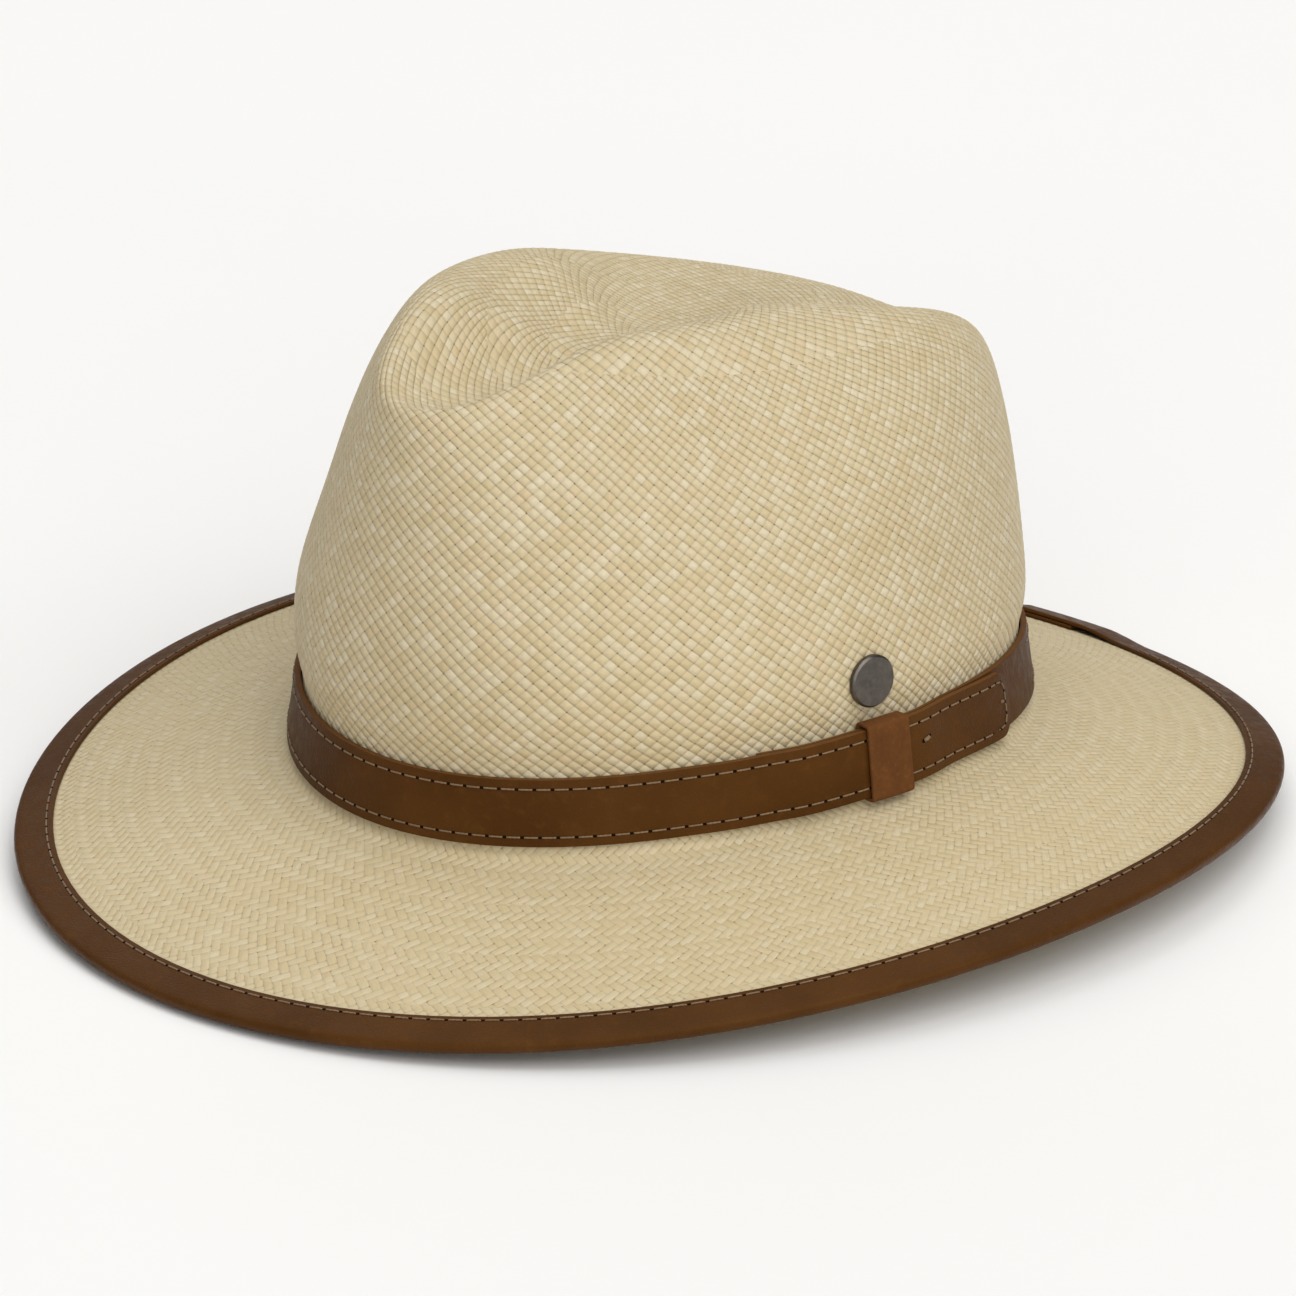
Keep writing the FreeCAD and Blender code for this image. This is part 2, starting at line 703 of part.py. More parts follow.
def make_sweatband():
    """Leather band inside the head opening, butted at the back, with a reed along its lower edge."""
    half_gap = math.degrees(size("sweatband_joint_gap") / 2 / size("head_half_width"))
    bearings = spaced(BACK + half_gap, BACK + 360 - half_gap, 73)
    thetas = [math.radians(b) for b in bearings]
    leather = size("sweatband_thickness")
    outer = [[sweat_point(t, inset, rise) for t in thetas] for rise, inset in SWEAT_SECTION]
    inner = [[sweat_point(t, inset + leather, rise) for t in thetas] for rise, inset in SWEAT_SECTION]
    add_piece("sweatband", slab(outer, inner, bearings, False))

    def on_inner_face(rise, lift):
        inset = sweat_inset(rise) + leather + lift
        return lambda bearing: sweat_point(math.radians(bearing), inset, rise)

    row = stitch_row(on_inner_face(1.2, -stitch_depth()), BACK + 2, BACK + 358,
                     size("sweat_stitch_pitch"), size("stitch_length"))
    add_piece("sweatband_stitching", Part.makeCompound(row))
    joints = []
    for rise in (4, 9, 14, 19, 24, 29):
        spot = on_inner_face(rise, -stitch_depth())
        joints.append(stitch(spot(BACK - 1.1), spot(BACK + 1.1)))
    add_piece("sweatband_joint_thread", Part.makeCompound(joints))

    label_bearings = spaced(size("label_bearing"), size("label_bearing") + size("label_span"), 9)
    label_rises = (size("label_rise"), size("label_rise") + size("label_height"))
    lift = size("label_gap")
    faces = []
    for extra in (lift + size("label_thickness"), lift):
        faces.append([[on_inner_face(rise, extra)(b) for b in label_bearings] for rise in label_rises])
    add_piece("size_label", slab(faces[0], faces[1], label_bearings, False))


def make_reed():
    """Round reed in the fold below the sweatband's lower edge."""
    bearings = [360.0 * n / POINTS_AROUND for n in range(POINTS_AROUND)]
    parameters = bearings + [360.0]
    radius, inset, rise = size("reed_radius"), size("reed_inset"), size("reed_rise")
    handle = radius * 4 / 3
    halves = []
    for side in (1, -1):
        section = ((radius, 0), (radius, side * handle), (-radius, side * handle), (-radius, 0))
        rings = [[sweat_point(math.radians(b), inset + across, rise + up) for b in bearings]
                 for across, up in section]
        halves.append(skin(rings, parameters, True))
    add_piece("sweatband_reed", sewn(halves))


def make_bow():
    """Small flat bow inside the back of the sweatband."""
    length, height, thickness = size("bow_loop_length"), size("bow_loop_height"), size("bow_thickness")
    pieces = [Part.makeBox(3.0, 4.0, thickness * 2, Vector(-1.5, -2.0, 0))]
    for side in (-1, 1):
        outline = Part.Ellipse(Vector(0, 0, 0), length / 2, height / 2).toShape()
        loop = Part.Face(Part.Wire([outline])).extrude(Vector(0, 0, thickness))
        loop.rotate(Vector(0, 0, 0), Vector(0, 0, 1), side * 12)
        loop.translate(Vector(side * length / 2, 0.8, 0))
        tail = Part.makeBox(2.2, 8.0, thickness, Vector(-1.1, -8.0, 0))
        tail.rotate(Vector(0, 0, 0), Vector(0, 0, 1), side * 24)
        pieces += [loop, tail]
    bow = pieces[0].multiFuse(pieces[1:]).removeSplitter()
    piece = add_piece("sweatband_bow", bow)
    seat = sweat_point(math.radians(BACK), sweat_inset(7.0) + size("sweatband_thickness") + 1.0, 7.0)
    facing = FreeCAD.Rotation(Vector(-1, 0, 0), Vector(0, 0, 1), Vector(0, -1, 0), "ZXY")
    piece.Placement = FreeCAD.Placement(seat, facing)


# ------------------------------------------------------------------------------------ resting position
def resting_placement(binding):
    """Levels the front and back of the brim and stands the hat on the ground, centred."""
    front, back = math.radians(FRONT), math.radians(BACK)
    length = 2 * size("head_half_length") + brim_width(front) + brim_width(back)
    pitch = math.degrees(math.atan2(brim_edge_height(back) - brim_edge_height(front), length))
    level = FreeCAD.Placement(Vector(0, 0, 0), FreeCAD.Rotation(Vector(1, 0, 0), -pitch))
    levelled = binding.Shape.copy()
    levelled.Placement = level
    box = levelled.optimalBoundingBox(False)
    shift = Vector(-box.Center.x, -box.Center.y, -box.ZMin)
    return FreeCAD.Placement(shift, level.Rotation)


def check(objects):
    for item in objects:
        if "Invalid" in item.State or "Error" in item.State:
            raise RuntimeError("%s failed: %s" % (item.Label, item.State))
    for piece in PIECES:
        if piece.Shape.isNull() or not piece.Shape.isValid():
            raise RuntimeError("%s has no valid shape" % piece.Label)


straw_surface = make_woven_body()
edge = make_binding()
make_strap()
make_tacks()
make_keeper()
make_badge(straw_surface)
make_sweatband()
make_reed()
make_bow()

rest = resting_placement(edge)
for piece in PIECES:
    piece.Placement = rest.multiply(piece.Placement)
doc.recompute()
check(doc.Objects)
os.makedirs("parts", exist_ok=True)
for piece in PIECES:
    piece.Shape.exportStep(os.path.join("parts", piece.Label + ".step"))
    bounds = piece.Shape.BoundBox
    print("%-24s solids %4d  volume %9.1f mm3  z %7.2f to %7.2f" % (
        piece.Label, len(piece.Shape.Solids), piece.Shape.Volume, bounds.ZMin, bounds.ZMax))
print("rest placement", rest)
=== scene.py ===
"""Looks of the panama hat: woven straw with real relief, stitched leather, metal badge, studio."""
import json
import math

import bpy
import numpy as np
from mathutils import Matrix, Vector
from mathutils.bvhtree import BVHTree


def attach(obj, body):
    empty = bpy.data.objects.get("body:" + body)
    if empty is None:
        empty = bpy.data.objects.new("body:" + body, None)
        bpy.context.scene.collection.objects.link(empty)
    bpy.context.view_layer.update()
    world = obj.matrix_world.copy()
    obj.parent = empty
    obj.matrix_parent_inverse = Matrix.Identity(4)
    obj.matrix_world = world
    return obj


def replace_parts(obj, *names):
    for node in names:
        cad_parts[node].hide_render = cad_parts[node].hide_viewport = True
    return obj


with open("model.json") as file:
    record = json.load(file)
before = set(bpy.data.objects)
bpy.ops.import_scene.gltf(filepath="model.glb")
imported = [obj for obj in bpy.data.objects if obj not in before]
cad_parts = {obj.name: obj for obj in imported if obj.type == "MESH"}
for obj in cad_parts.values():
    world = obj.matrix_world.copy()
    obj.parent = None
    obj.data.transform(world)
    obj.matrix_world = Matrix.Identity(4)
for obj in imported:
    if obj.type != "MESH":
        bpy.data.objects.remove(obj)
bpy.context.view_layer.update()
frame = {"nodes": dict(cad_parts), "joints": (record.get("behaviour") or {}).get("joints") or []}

HAT = "hat"               # the body that every new piece rides on
MM = 0.001

# The keeper turns about an axis that is upright to the head oval's plane, so the axis gives the head's frame.
JOINT = frame["joints"][0]
HEAD_UP = Vector(JOINT["axis"]).normalized()
HEAD_ORIGIN = Vector((0.0, JOINT["pos_m"][1], JOINT["pos_m"][2]))
HEAD_TURN = Vector((0, 0, 1)).rotation_difference(HEAD_UP).to_matrix()
TO_HEAD = HEAD_TURN.to_4x4().inverted() @ Matrix.Translation(-HEAD_ORIGIN)
HEAD_ROTATION = np.array(HEAD_TURN, float)

# The photograph's viewing direction about the head frame in degrees, its distance in metres, the lens and
# the sensor's width in millimetres, and how far off the picture is centred.
VIEW_AZIMUTH, VIEW_ELEVATION, VIEW_DISTANCE = 44.05, 20.66, 2.1934
VIEW_LENS, VIEW_SENSOR, VIEW_SHIFT = 238.42, 36.0, (-0.01136, 0.04315)


def head_to_row(points):
    """Points in the head frame, in millimetres, to the row frame in metres."""
    return (np.asarray(points) * MM) @ HEAD_ROTATION.T + np.array(HEAD_ORIGIN)


def node_points(name):
    """A CAD node's points in the head frame in millimetres, and its triangles."""
    mesh = frame["nodes"][name].data
    places = np.array([TO_HEAD @ v.co / MM for v in mesh.vertices])
    return places, [tuple(p.vertices) for p in mesh.polygons]


def node_tree(name):
    """A CAD node's surface in the head frame in millimetres, for rays and nearest points."""
    return BVHTree.FromPolygons(*node_points(name))


def link(name, data):
    thing = bpy.data.objects.new(name, data)
    bpy.context.scene.collection.objects.link(thing)
    return thing


# ------------------------------------------------------------------------------------ sampled straw
CASTS_AROUND = 360        # bearings that the straw is sampled at
CASTS_DOWN = 230          # rays at the crown on each bearing, from straight above to LOWEST_LOOK
LOOK_FROM = 50.0          # height on the head axis that the crown is star-shaped about
LOWEST_LOOK = -21.0       # degrees above level; lower than this the foot is looked at from the side
CLEAR_RADIUS = 117.0      # just outside the wall, above the brim
LONGEST_LOOK = 150.0      # a steep ray starts no further than this from LOOK_FROM
FOOT_HEIGHTS = (9.0, 7.5, 6.0, 4.5)
FOOT_SPACING = 1.0        # a foot height is used only this far below the last ray's hit
FOOT_GAP = 0.1            # the brim's samples start this far out from the crown's foot,
FINE_REACH = 7.0          # lie close together up to here
FINE_STEP = 0.3
BRIM_STEP = 1.5           # and wider apart from there on
BRIM_LIMIT = 190.0        # outside the brim everywhere
DROP_HEIGHT = 30.0        # rays at the brim start this high; beside the foot, to stay clear of the wall,
LOW_START = 0.2           # they start this far over the last foot height,
LOW_SLOPE = 2.0           # and higher by this slope away from it
EDGE_HALVINGS = 12        # of BRIM_STEP, to find the edge
SMOOTH_WAVES = 60.0       # waves round the head that smoothing damps to a third
SMOOTH_ROWS = 2.2         # rows that it blurs over
SHELL = 1.2               # thickness of the straw


def crown_profile(tree, direction):
    """Outer profile from the middle of the dent down to the hatband, as (radius, height) points."""
    centre = Vector((0, 0, LOOK_FROM))
    profile = []
    for elevation in np.linspace(90.0, LOWEST_LOOK, CASTS_DOWN):
        turn = math.radians(elevation)
        ray = direction * math.cos(turn) + Vector((0, 0, math.sin(turn)))
        start = centre + ray * min(CLEAR_RADIUS / max(math.cos(turn), 1e-6), LONGEST_LOOK)
        hit = tree.ray_cast(start, -ray)[0]
        profile.append((hit.dot(direction), hit.z))
    lowest = profile[-1][1]
    for height in FOOT_HEIGHTS:
        if height < lowest - FOOT_SPACING:
            hit = tree.ray_cast(direction * CLEAR_RADIUS + Vector((0, 0, height)), -direction)[0]
            profile.append((hit.dot(direction), height))
    return np.array(profile)


def brim_profile(tree, direction, foot_radius):
    """Upper profile of the brim from beside the crown's foot to the edge."""
    def dropped(radius, above):
        return tree.ray_cast(direction * radius + Vector((0, 0, above)), Vector((0, 0, -1)))[0]

    profile = []
    near = np.arange(foot_radius + FOOT_GAP, foot_radius + FINE_REACH, FINE_STEP)
    for radius in np.concatenate([near, np.arange(foot_radius + FINE_REACH, BRIM_LIMIT, BRIM_STEP)]):
        low_start = FOOT_HEIGHTS[-1] + LOW_START + LOW_SLOPE * (radius - foot_radius)
        hit = dropped(radius, min(DROP_HEIGHT, low_start))
        if hit is None:
            break
        profile.append((radius, hit.z))
    low, high = profile[-1][0], profile[-1][0] + BRIM_STEP
    for _ in range(EDGE_HALVINGS):
        middle = (low + high) / 2
        low, high = (middle, high) if dropped(middle, DROP_HEIGHT) else (low, middle)
    slope = (profile[-1][1] - profile[-3][1]) / (profile[-1][0] - profile[-3][0])
    profile.append((low, profile[-1][1] + slope * (low - profile[-1][0])))
    return np.array(profile)


def by_arc(profile, rows):
    """The profile at evenly spaced arc lengths, and its length."""
    steps = np.hypot(*np.diff(profile, axis=0).T)
    travelled = np.concatenate([[0.0], np.cumsum(steps)])
    wanted = np.linspace(0.0, travelled[-1], rows)
    return np.stack([np.interp(wanted, travelled, profile[:, k]) for k in (0, 1)], axis=1), travelled[-1]


def smoothed(grid, around, along):
    """The (column, row, 2) grid with small facets smoothed away; its first and last rows stay in place."""
    waves = np.fft.rfftfreq(len(grid), 1.0 / len(grid))
    damping = np.exp(-(waves / around) ** 2)
    grid = np.fft.irfft(np.fft.rfft(grid, axis=0) * damping[:, None, None], len(grid), axis=0)
    reach = int(3 * along)
    weights = np.exp(-0.5 * (np.arange(-reach, reach + 1) / along) ** 2)
    weights /= weights.sum()
    before = 2 * grid[:, :1] - grid[:, reach:0:-1]
    after = 2 * grid[:, -1:] - grid[:, -2:-reach - 2:-1]
    long = np.concatenate([before, grid, after], axis=1)
    return sum(w * long[:, k:k + grid.shape[1]] for k, w in enumerate(weights))


def columns_at(grid, shares):
    """The grid, which is periodic in its columns, at any shares of a turn."""
    spectrum = np.fft.rfft(grid, axis=0) / len(grid)
    spectrum[1:] *= 2
    waves = np.arange(len(spectrum))
    turning = np.exp(2j * np.pi * np.outer(shares, waves))
    return np.real(np.tensordot(turning, spectrum, axes=(1, 0)))


def sample_straw(crown_rows, brim_rows):
    """Smoothed profiles of the crown and of the brim, as (column, row, 2), and their mean lengths."""
    tree = node_tree("woven_body")
    crown, brim, lengths = [], [], []
    for n in range(CASTS_AROUND):
        turn = 2 * math.pi * n / CASTS_AROUND
        direction = Vector((math.cos(turn), math.sin(turn), 0.0))
        wall = crown_profile(tree, direction)
        rim = brim_profile(tree, direction, wall[-1][0])
        wall, wall_length = by_arc(wall, crown_rows)
        rim, rim_length = by_arc(rim, brim_rows)
        crown.append(wall)
        brim.append(rim)
        lengths.append((wall_length, rim_length))
    crown = smoothed(np.array(crown), SMOOTH_WAVES, SMOOTH_ROWS)
    brim = smoothed(np.array(brim), SMOOTH_WAVES, SMOOTH_ROWS)
    crown[:, 0, 0] = 0.0
    crown[:, 0, 1] = crown[:, 0, 1].mean()
    return crown, brim, np.mean(lengths, axis=0)


def in_space(profiles, shares):
    """Profiles (column, row, 2) at those shares of a turn, as points in the head frame."""
    turn = 2 * np.pi * np.asarray(shares)[:, None]
    radius, height = profiles[..., 0], profiles[..., 1]
    return np.stack([radius * np.cos(turn), radius * np.sin(turn), height], axis=-1)


def grid_normals(points):
    """Outward normals of a (column, row, 3) grid that is periodic in its columns."""
    around = np.roll(points, -1, axis=0) - np.roll(points, 1, axis=0)
    along = np.gradient(points, axis=1)
    normals = np.cross(along, around)
    normals[:, 0] = normals[:, 1:4].mean(axis=1).mean(axis=0)
    return normals / np.maximum(np.linalg.norm(normals, axis=-1, keepdims=True), 1e-9)


# --------------------------------------------------------------------------------------------- weave
STRAND_ROUND = 0.8        # how round a strand is across itself: 0 is flat, 1 a half circle
STRAND_DIP = 0.45         # how far it sinks from its middle to where it goes under
MEAN_HEIGHT = 2 / 3       # the height that stays on the sampled surface


def weave_height(p, q, twill):
    """Height of the strands at strand coordinates p and q: 1 on a strand's middle, least at its corners."""
    fp, fq = p - np.floor(p), q - np.floor(q)
    if twill:
        phase = np.mod(np.floor(p) - np.floor(q), 4)
        second = phase > 1.5
        along = np.where(second, np.abs(fp + phase - 3), np.abs(fq - phase))
        across = np.where(second, np.abs(2 * fq - 1), np.abs(2 * fp - 1))
    else:
        second = np.mod(np.floor(p) + np.floor(q), 2) > 0.5
        along = np.where(second, np.abs(2 * fp - 1), np.abs(2 * fq - 1))
        across = np.where(second, np.abs(2 * fq - 1), np.abs(2 * fp - 1))
    return np.sqrt(1 - STRAND_ROUND * across ** 2) * (1 - STRAND_DIP * along ** 2)


class Skin:
    """Rings of points joined into one mesh, with strand coordinates on every face corner."""

    def __init__(self):
        self.points, self.loops, self.sizes, self.strands = [], [], [], []
        self.count = 0

    def ring(self, points):
        start = self.count
        self.points.append(points)
        self.count += len(points)
        return start, len(points)

    def join(self, first, second, strands_first, strands_second):
        """Faces between two rings whose counts are equal, or one a whole multiple of the other.

        strands_* give a ring's strand coordinates at shares of a turn from 0 to 1.
        """
        (start_a, count_a), (start_b, count_b) = first, second
        coarse = min(count_a, count_b)
        step_a, step_b = count_a // coarse, count_b // coarse
        base = np.arange(coarse)
        corners, places = [], []
        for n in range(step_a + 1):
            index = base * step_a + n
            corners.append(start_a + index % count_a)
            places.append(strands_first(index / count_a))
        for n in range(step_b, -1, -1):
            index = base * step_b + n
            corners.append(start_b + index % count_b)
            places.append(strands_second(index / count_b))
        self.loops.append(np.stack(corners, axis=1).ravel())
        self.strands.append(np.stack(places, axis=1).reshape(-1, 2))
        self.sizes.append(np.full(coarse, len(corners)))

    def build(self, name):
        points = head_to_row(np.concatenate(self.points))
        loops = np.concatenate(self.loops)
        sizes = np.concatenate(self.sizes)
        starts = np.concatenate([[0], np.cumsum(sizes)[:-1]])
        mesh = bpy.data.meshes.new(name)
        mesh.vertices.add(len(points))
        mesh.vertices.foreach_set("co", points.astype(np.float32).ravel())
        mesh.loops.add(len(loops))
        mesh.loops.foreach_set("vertex_index", loops.astype(np.int32))
        mesh.polygons.add(len(sizes))
        mesh.polygons.foreach_set("loop_start", starts.astype(np.int32))
        mesh.update(calc_edges=True)
        strands = mesh.uv_layers.new(name="strands")
        strands.data.foreach_set("uv", np.concatenate(self.strands).astype(np.float32).ravel())
        mesh.flip_normals()       # join goes round each face clockwise, as seen from outside
        mesh.polygons.foreach_set("use_smooth", np.ones(len(sizes), bool))
        mesh.update()
        return link(name, mesh)


# --------------------------------------------------------------------------------------- straw pieces
CROWN_ROWS, BRIM_ROWS = 286, 112
CROWN_COLUMNS, BRIM_COLUMNS = 960, 1440
FULL_RADIUS, HALF_RADIUS = 56, 24     # outside these a row of the crown has all its columns, or half of them
BACK_STRIDE = 2                       # the straw's back has one row and column for so many of the face's
# (smallest mean radius in mm, strands of the first family around, of the second), from the widest row in
CROWN_ZONES = ((66.0, 150, 158), (44.0, 108, 114), (28.0, 72, 76), (14.0, 46, 48), (0.0, 22, 24))
BRIM_ZONES = ((148.0, 340, 340), (130.0, 296, 296), (113.0, 256, 256), (0.0, 220, 220))
# how fast each family climbs for its turn around the head: near the hatband, and at the shoulder
CROWN_STEEPNESS = ((1.32, 1.12), (1.36, 0.76))
BRIM_STEEPNESS = ((1.0, 1.0), (1.0, 1.0))
FOOT_RADIUS, SHOULDER_RADIUS = 96.0, 72.0
CROWN_RELIEF, BRIM_RELIEF = 0.46, 0.20
CALM_RADIUS = 16.0        # the relief fades away inside this radius, where the strands crowd together
POLE_RADIUS = 5.0         # nearer the pole than this the strands climb no faster


class Lattice:
    """Strand coordinates over rows of a weave, which has more strands in the zones where rows are longer."""

    def __init__(self, radii, step, zones, steepness, twill):
        self.twill = twill
        self.depth = BRIM_RELIEF if twill else CROWN_RELIEF
        self.radii = radii
        self.zone, self.climb = [], [np.zeros(2)]
        for low, high in zip(radii, radii[1:]):
            radius = max((low + high) / 2, POLE_RADIUS)
            counts = next(np.array(z[1:], float) for z in zones if radius >= z[0])
            share = min(max((FOOT_RADIUS - radius) / (FOOT_RADIUS - SHOULDER_RADIUS), 0.0), 1.0)
            steep = steepness[0] * (1 - share) + steepness[1] * share
            self.zone.append(counts)
            self.climb.append(self.climb[-1] + step * counts / (2 * math.pi * radius) * steep)

    def at(self, row, interval, back=False):
        """Strand coordinates along a row, in the weave between the row numbered interval and the next.

        On the straw's back the other family lies on top at every crossing.
        """
        counts, climb = self.zone[min(interval, len(self.zone) - 1)], self.climb[row]
        swap = (2.0 if self.twill else 1.0) if back else 0.0

        def strands(share):
            share = np.asarray(share, float)
            return np.stack([counts[0] * share + climb[0] + swap, counts[1] * share - climb[1]], axis=-1)
        return strands

    def relief(self, row, shares, back=False):
        p, q = self.at(row, row, back)(shares).T
        calm = min(1.0, self.radii[row] / CALM_RADIUS)
        return (weave_height(p, q, self.twill) - MEAN_HEIGHT) * self.depth * calm


def face_rings(profiles, counts, lattice, back):
    """Rings of one face of the straw, relief included; counts gives each row's number of columns."""
    rings = {}
    for count in sorted(set(counts)):
        shares = np.arange(count) / count
        base = in_space(columns_at(profiles, shares), shares)
        normals = grid_normals(base)
        for row in [k for k, c in enumerate(counts) if c == count]:
            lift = lattice.relief(row, shares, back)
            if back:
                lift = -SHELL - lift
            rings[row] = base[:, row] + normals[:, row] * lift[:, None]
    return [rings[row] for row in sorted(rings)]


def columns_for(radius, full):
    """Columns that a row of this mean radius needs, halved as the rows get short."""
    return full if radius > FULL_RADIUS else full // 2 if radius > HALF_RADIUS else full // 4


def straw_shell(name, profiles, length, zones, steepness, full, twill, closed_pole):
    """Both faces of the crown or the brim as one closed piece; full is the outer face's columns."""
    skin = Skin()
    faces = []
    for back in (False, True):
        stride = BACK_STRIDE if back else 1
        rows = profiles[:, ::stride]
        if (profiles.shape[1] - 1) % stride:
            rows = np.concatenate([rows, profiles[:, -1:]], axis=1)
        radii = rows[..., 0].mean(axis=0)
        step = length / (rows.shape[1] - 1)
        direction = -1.0 if closed_pole else 1.0
        lattice = Lattice(radii, step * direction, zones, np.array(steepness), twill)
        counts = [columns_for(r, full // stride) if closed_pole else full // stride for r in radii]
        rings = face_rings(rows, counts, lattice, back)
        if closed_pole:
            rings[0] = rings[0].mean(axis=0, keepdims=True)
        order = range(len(rings)) if not back else range(len(rings) - 1, -1, -1)
        placed = [(row, skin.ring(rings[row])) for row in order]
        for (row, first), (following, second) in zip(placed, placed[1:]):
            interval = min(row, following)
            skin.join(first, second, lattice.at(row, interval, back), lattice.at(following, interval, back))
        faces.append((lattice, placed))

    # the outer face ends at the edge, where the back starts; the brim has a second edge, at the foot
    (top, outer), (under, inner) = faces
    (edge_row, edge), (under_row, under_edge) = outer[-1], inner[0]
    skin.join(edge, under_edge, top.at(edge_row, edge_row), under.at(under_row, under_row, back=True))
    if not closed_pole:
        skin.join(inner[-1][1], outer[0][1], under.at(0, 0, back=True), top.at(0, 0))
    return skin.build(name)


# ------------------------------------------------------------------------------------ node material
class Graph:
    """A material's node tree, with short calls for the nodes that the materials below use."""

    def __init__(self, name):
        self.material = bpy.data.materials.new(name)
        self.material.use_nodes = True
        self.tree = self.material.node_tree
        self.shader = self.tree.nodes["Principled BSDF"]

    def node(self, kind, **settings):
        made = self.tree.nodes.new(kind)
        for key, value in settings.items():
            setattr(made, key, value)
        return made

    def feed(self, socket, value):
        if isinstance(value, bpy.types.NodeSocket):
            self.tree.links.new(value, socket)
        else:
            socket.default_value = value

    def math(self, operation, *values):
        made = self.node("ShaderNodeMath", operation=operation)
        for socket, value in zip(made.inputs, values):
            self.feed(socket, value)
        return made.outputs[0]

    def span(self, value, low, high, to_low=0.0, to_high=1.0):
        """Smooth step of value from low..high to to_low..to_high."""
        made = self.node("ShaderNodeMapRange", interpolation_type="SMOOTHSTEP")
        for socket, item in zip(made.inputs, (value, low, high, to_low, to_high)):
            self.feed(socket, item)
        return made.outputs[0]

    def pick(self, factor, first, second):
        """first where factor is 0, second where it is 1, as numbers."""
        made = self.node("ShaderNodeMix", data_type="FLOAT")
        for socket, item in zip((made.inputs[0], made.inputs[2], made.inputs[3]), (factor, first, second)):
            self.feed(socket, item)
        return made.outputs[0]

    def tint(self, factor, first, second):
        """first where factor is 0, second where it is 1, as colours."""
        made = self.node("ShaderNodeMix", data_type="RGBA")
        for socket, item in zip((made.inputs[0], made.inputs[6], made.inputs[7]), (factor, first, second)):
            self.feed(socket, item)
        return made.outputs[2]

    def blended(self, tone, *steps):
        """tone mixed with one colour after another: up to most of each, as its value goes from start to full."""
        for value, start, full, most, added in steps:
            tone = self.tint(self.span(value, start, full, 0.0, most), tone, added)
        return tone

    def vector(self, x, y, z):
        made = self.node("ShaderNodeCombineXYZ")
        for socket, item in zip(made.inputs, (x, y, z)):
            self.feed(socket, item)
        return made.outputs[0]

    def parts(self, vector):
        made = self.node("ShaderNodeSeparateXYZ")
        self.feed(made.inputs[0], vector)
        return made.outputs

    def noise(self, vector, scale, detail=2.0, roughness=0.5):
        made = self.node("ShaderNodeTexNoise")
        self.feed(made.inputs["Vector"], vector)
        for key, value in (("Scale", scale), ("Detail", detail), ("Roughness", roughness)):
            made.inputs[key].default_value = value
        return made.outputs["Fac"]

    def chance(self, x, y, z):
        """A number from 0 to 1 that is constant for each triple of whole numbers."""
        made = self.node("ShaderNodeTexWhiteNoise", noise_dimensions="3D")
        self.feed(made.inputs["Vector"], self.vector(x, y, z))
        return made.outputs["Value"]

    def cells(self, vector, scale, feature="F1"):
        made = self.node("ShaderNodeTexVoronoi", feature=feature)
        self.feed(made.inputs["Vector"], vector)
        made.inputs["Scale"].default_value = scale
        return made.outputs["Distance"]

    def place(self):
        """Where the surface is, in metres, which stays put as the piece moves."""
        return self.node("ShaderNodeTexCoord").outputs["Object"]

    def bump(self, height, distance, strength=1.0):
        made = self.node("ShaderNodeBump")
        made.inputs["Strength"].default_value = strength
        made.inputs["Distance"].default_value = distance
        self.feed(made.inputs["Height"], height)
        return made.outputs[0]

    def finish(self, colour, roughness, normal=None, **settings):
        """The material, with settings for the shader's other sockets: each name's _ stands for a space."""
        self.feed(self.shader.inputs["Base Color"], colour)
        self.feed(self.shader.inputs["Roughness"], roughness)
        if normal is not None:
            self.feed(self.shader.inputs["Normal"], normal)
        for key, value in settings.items():
            self.shader.inputs[key.replace("_", " ")].default_value = value
        return self.material


def colour(red, green, blue):
    """An sRGB colour of 0 to 255 as a linear one."""
    linear = [(c / 255 / 12.92) if c <= 10.31 else ((c / 255 + 0.055) / 1.055) ** 2.4
              for c in (red, green, blue)]
    return (*linear, 1.0)


STRAW, STRAW_DARK, STRAW_WARM = colour(204, 188, 151), colour(186, 165, 119), colour(204, 177, 138)
# the second colour here is painted shade, for the gaps between strands and the pinholes in the weave
STRAW_PALE, GAP_SHADE = colour(216, 205, 178), colour(92, 66, 36)


def rounded_square(g, first, second):
    """Distance from a cell's middle that is 1 at the middles of its sides and more in its corners."""
    fourth = [g.math("POWER", value, 4.0) for value in (first, second)]
    return g.math("POWER", g.math("ADD", *fourth), 0.25)


# changes of tone per crossing along a strand, and the crossings that it lags its neighbour by
TONE_RATE, TONE_SLIP = 0.31, 7.3


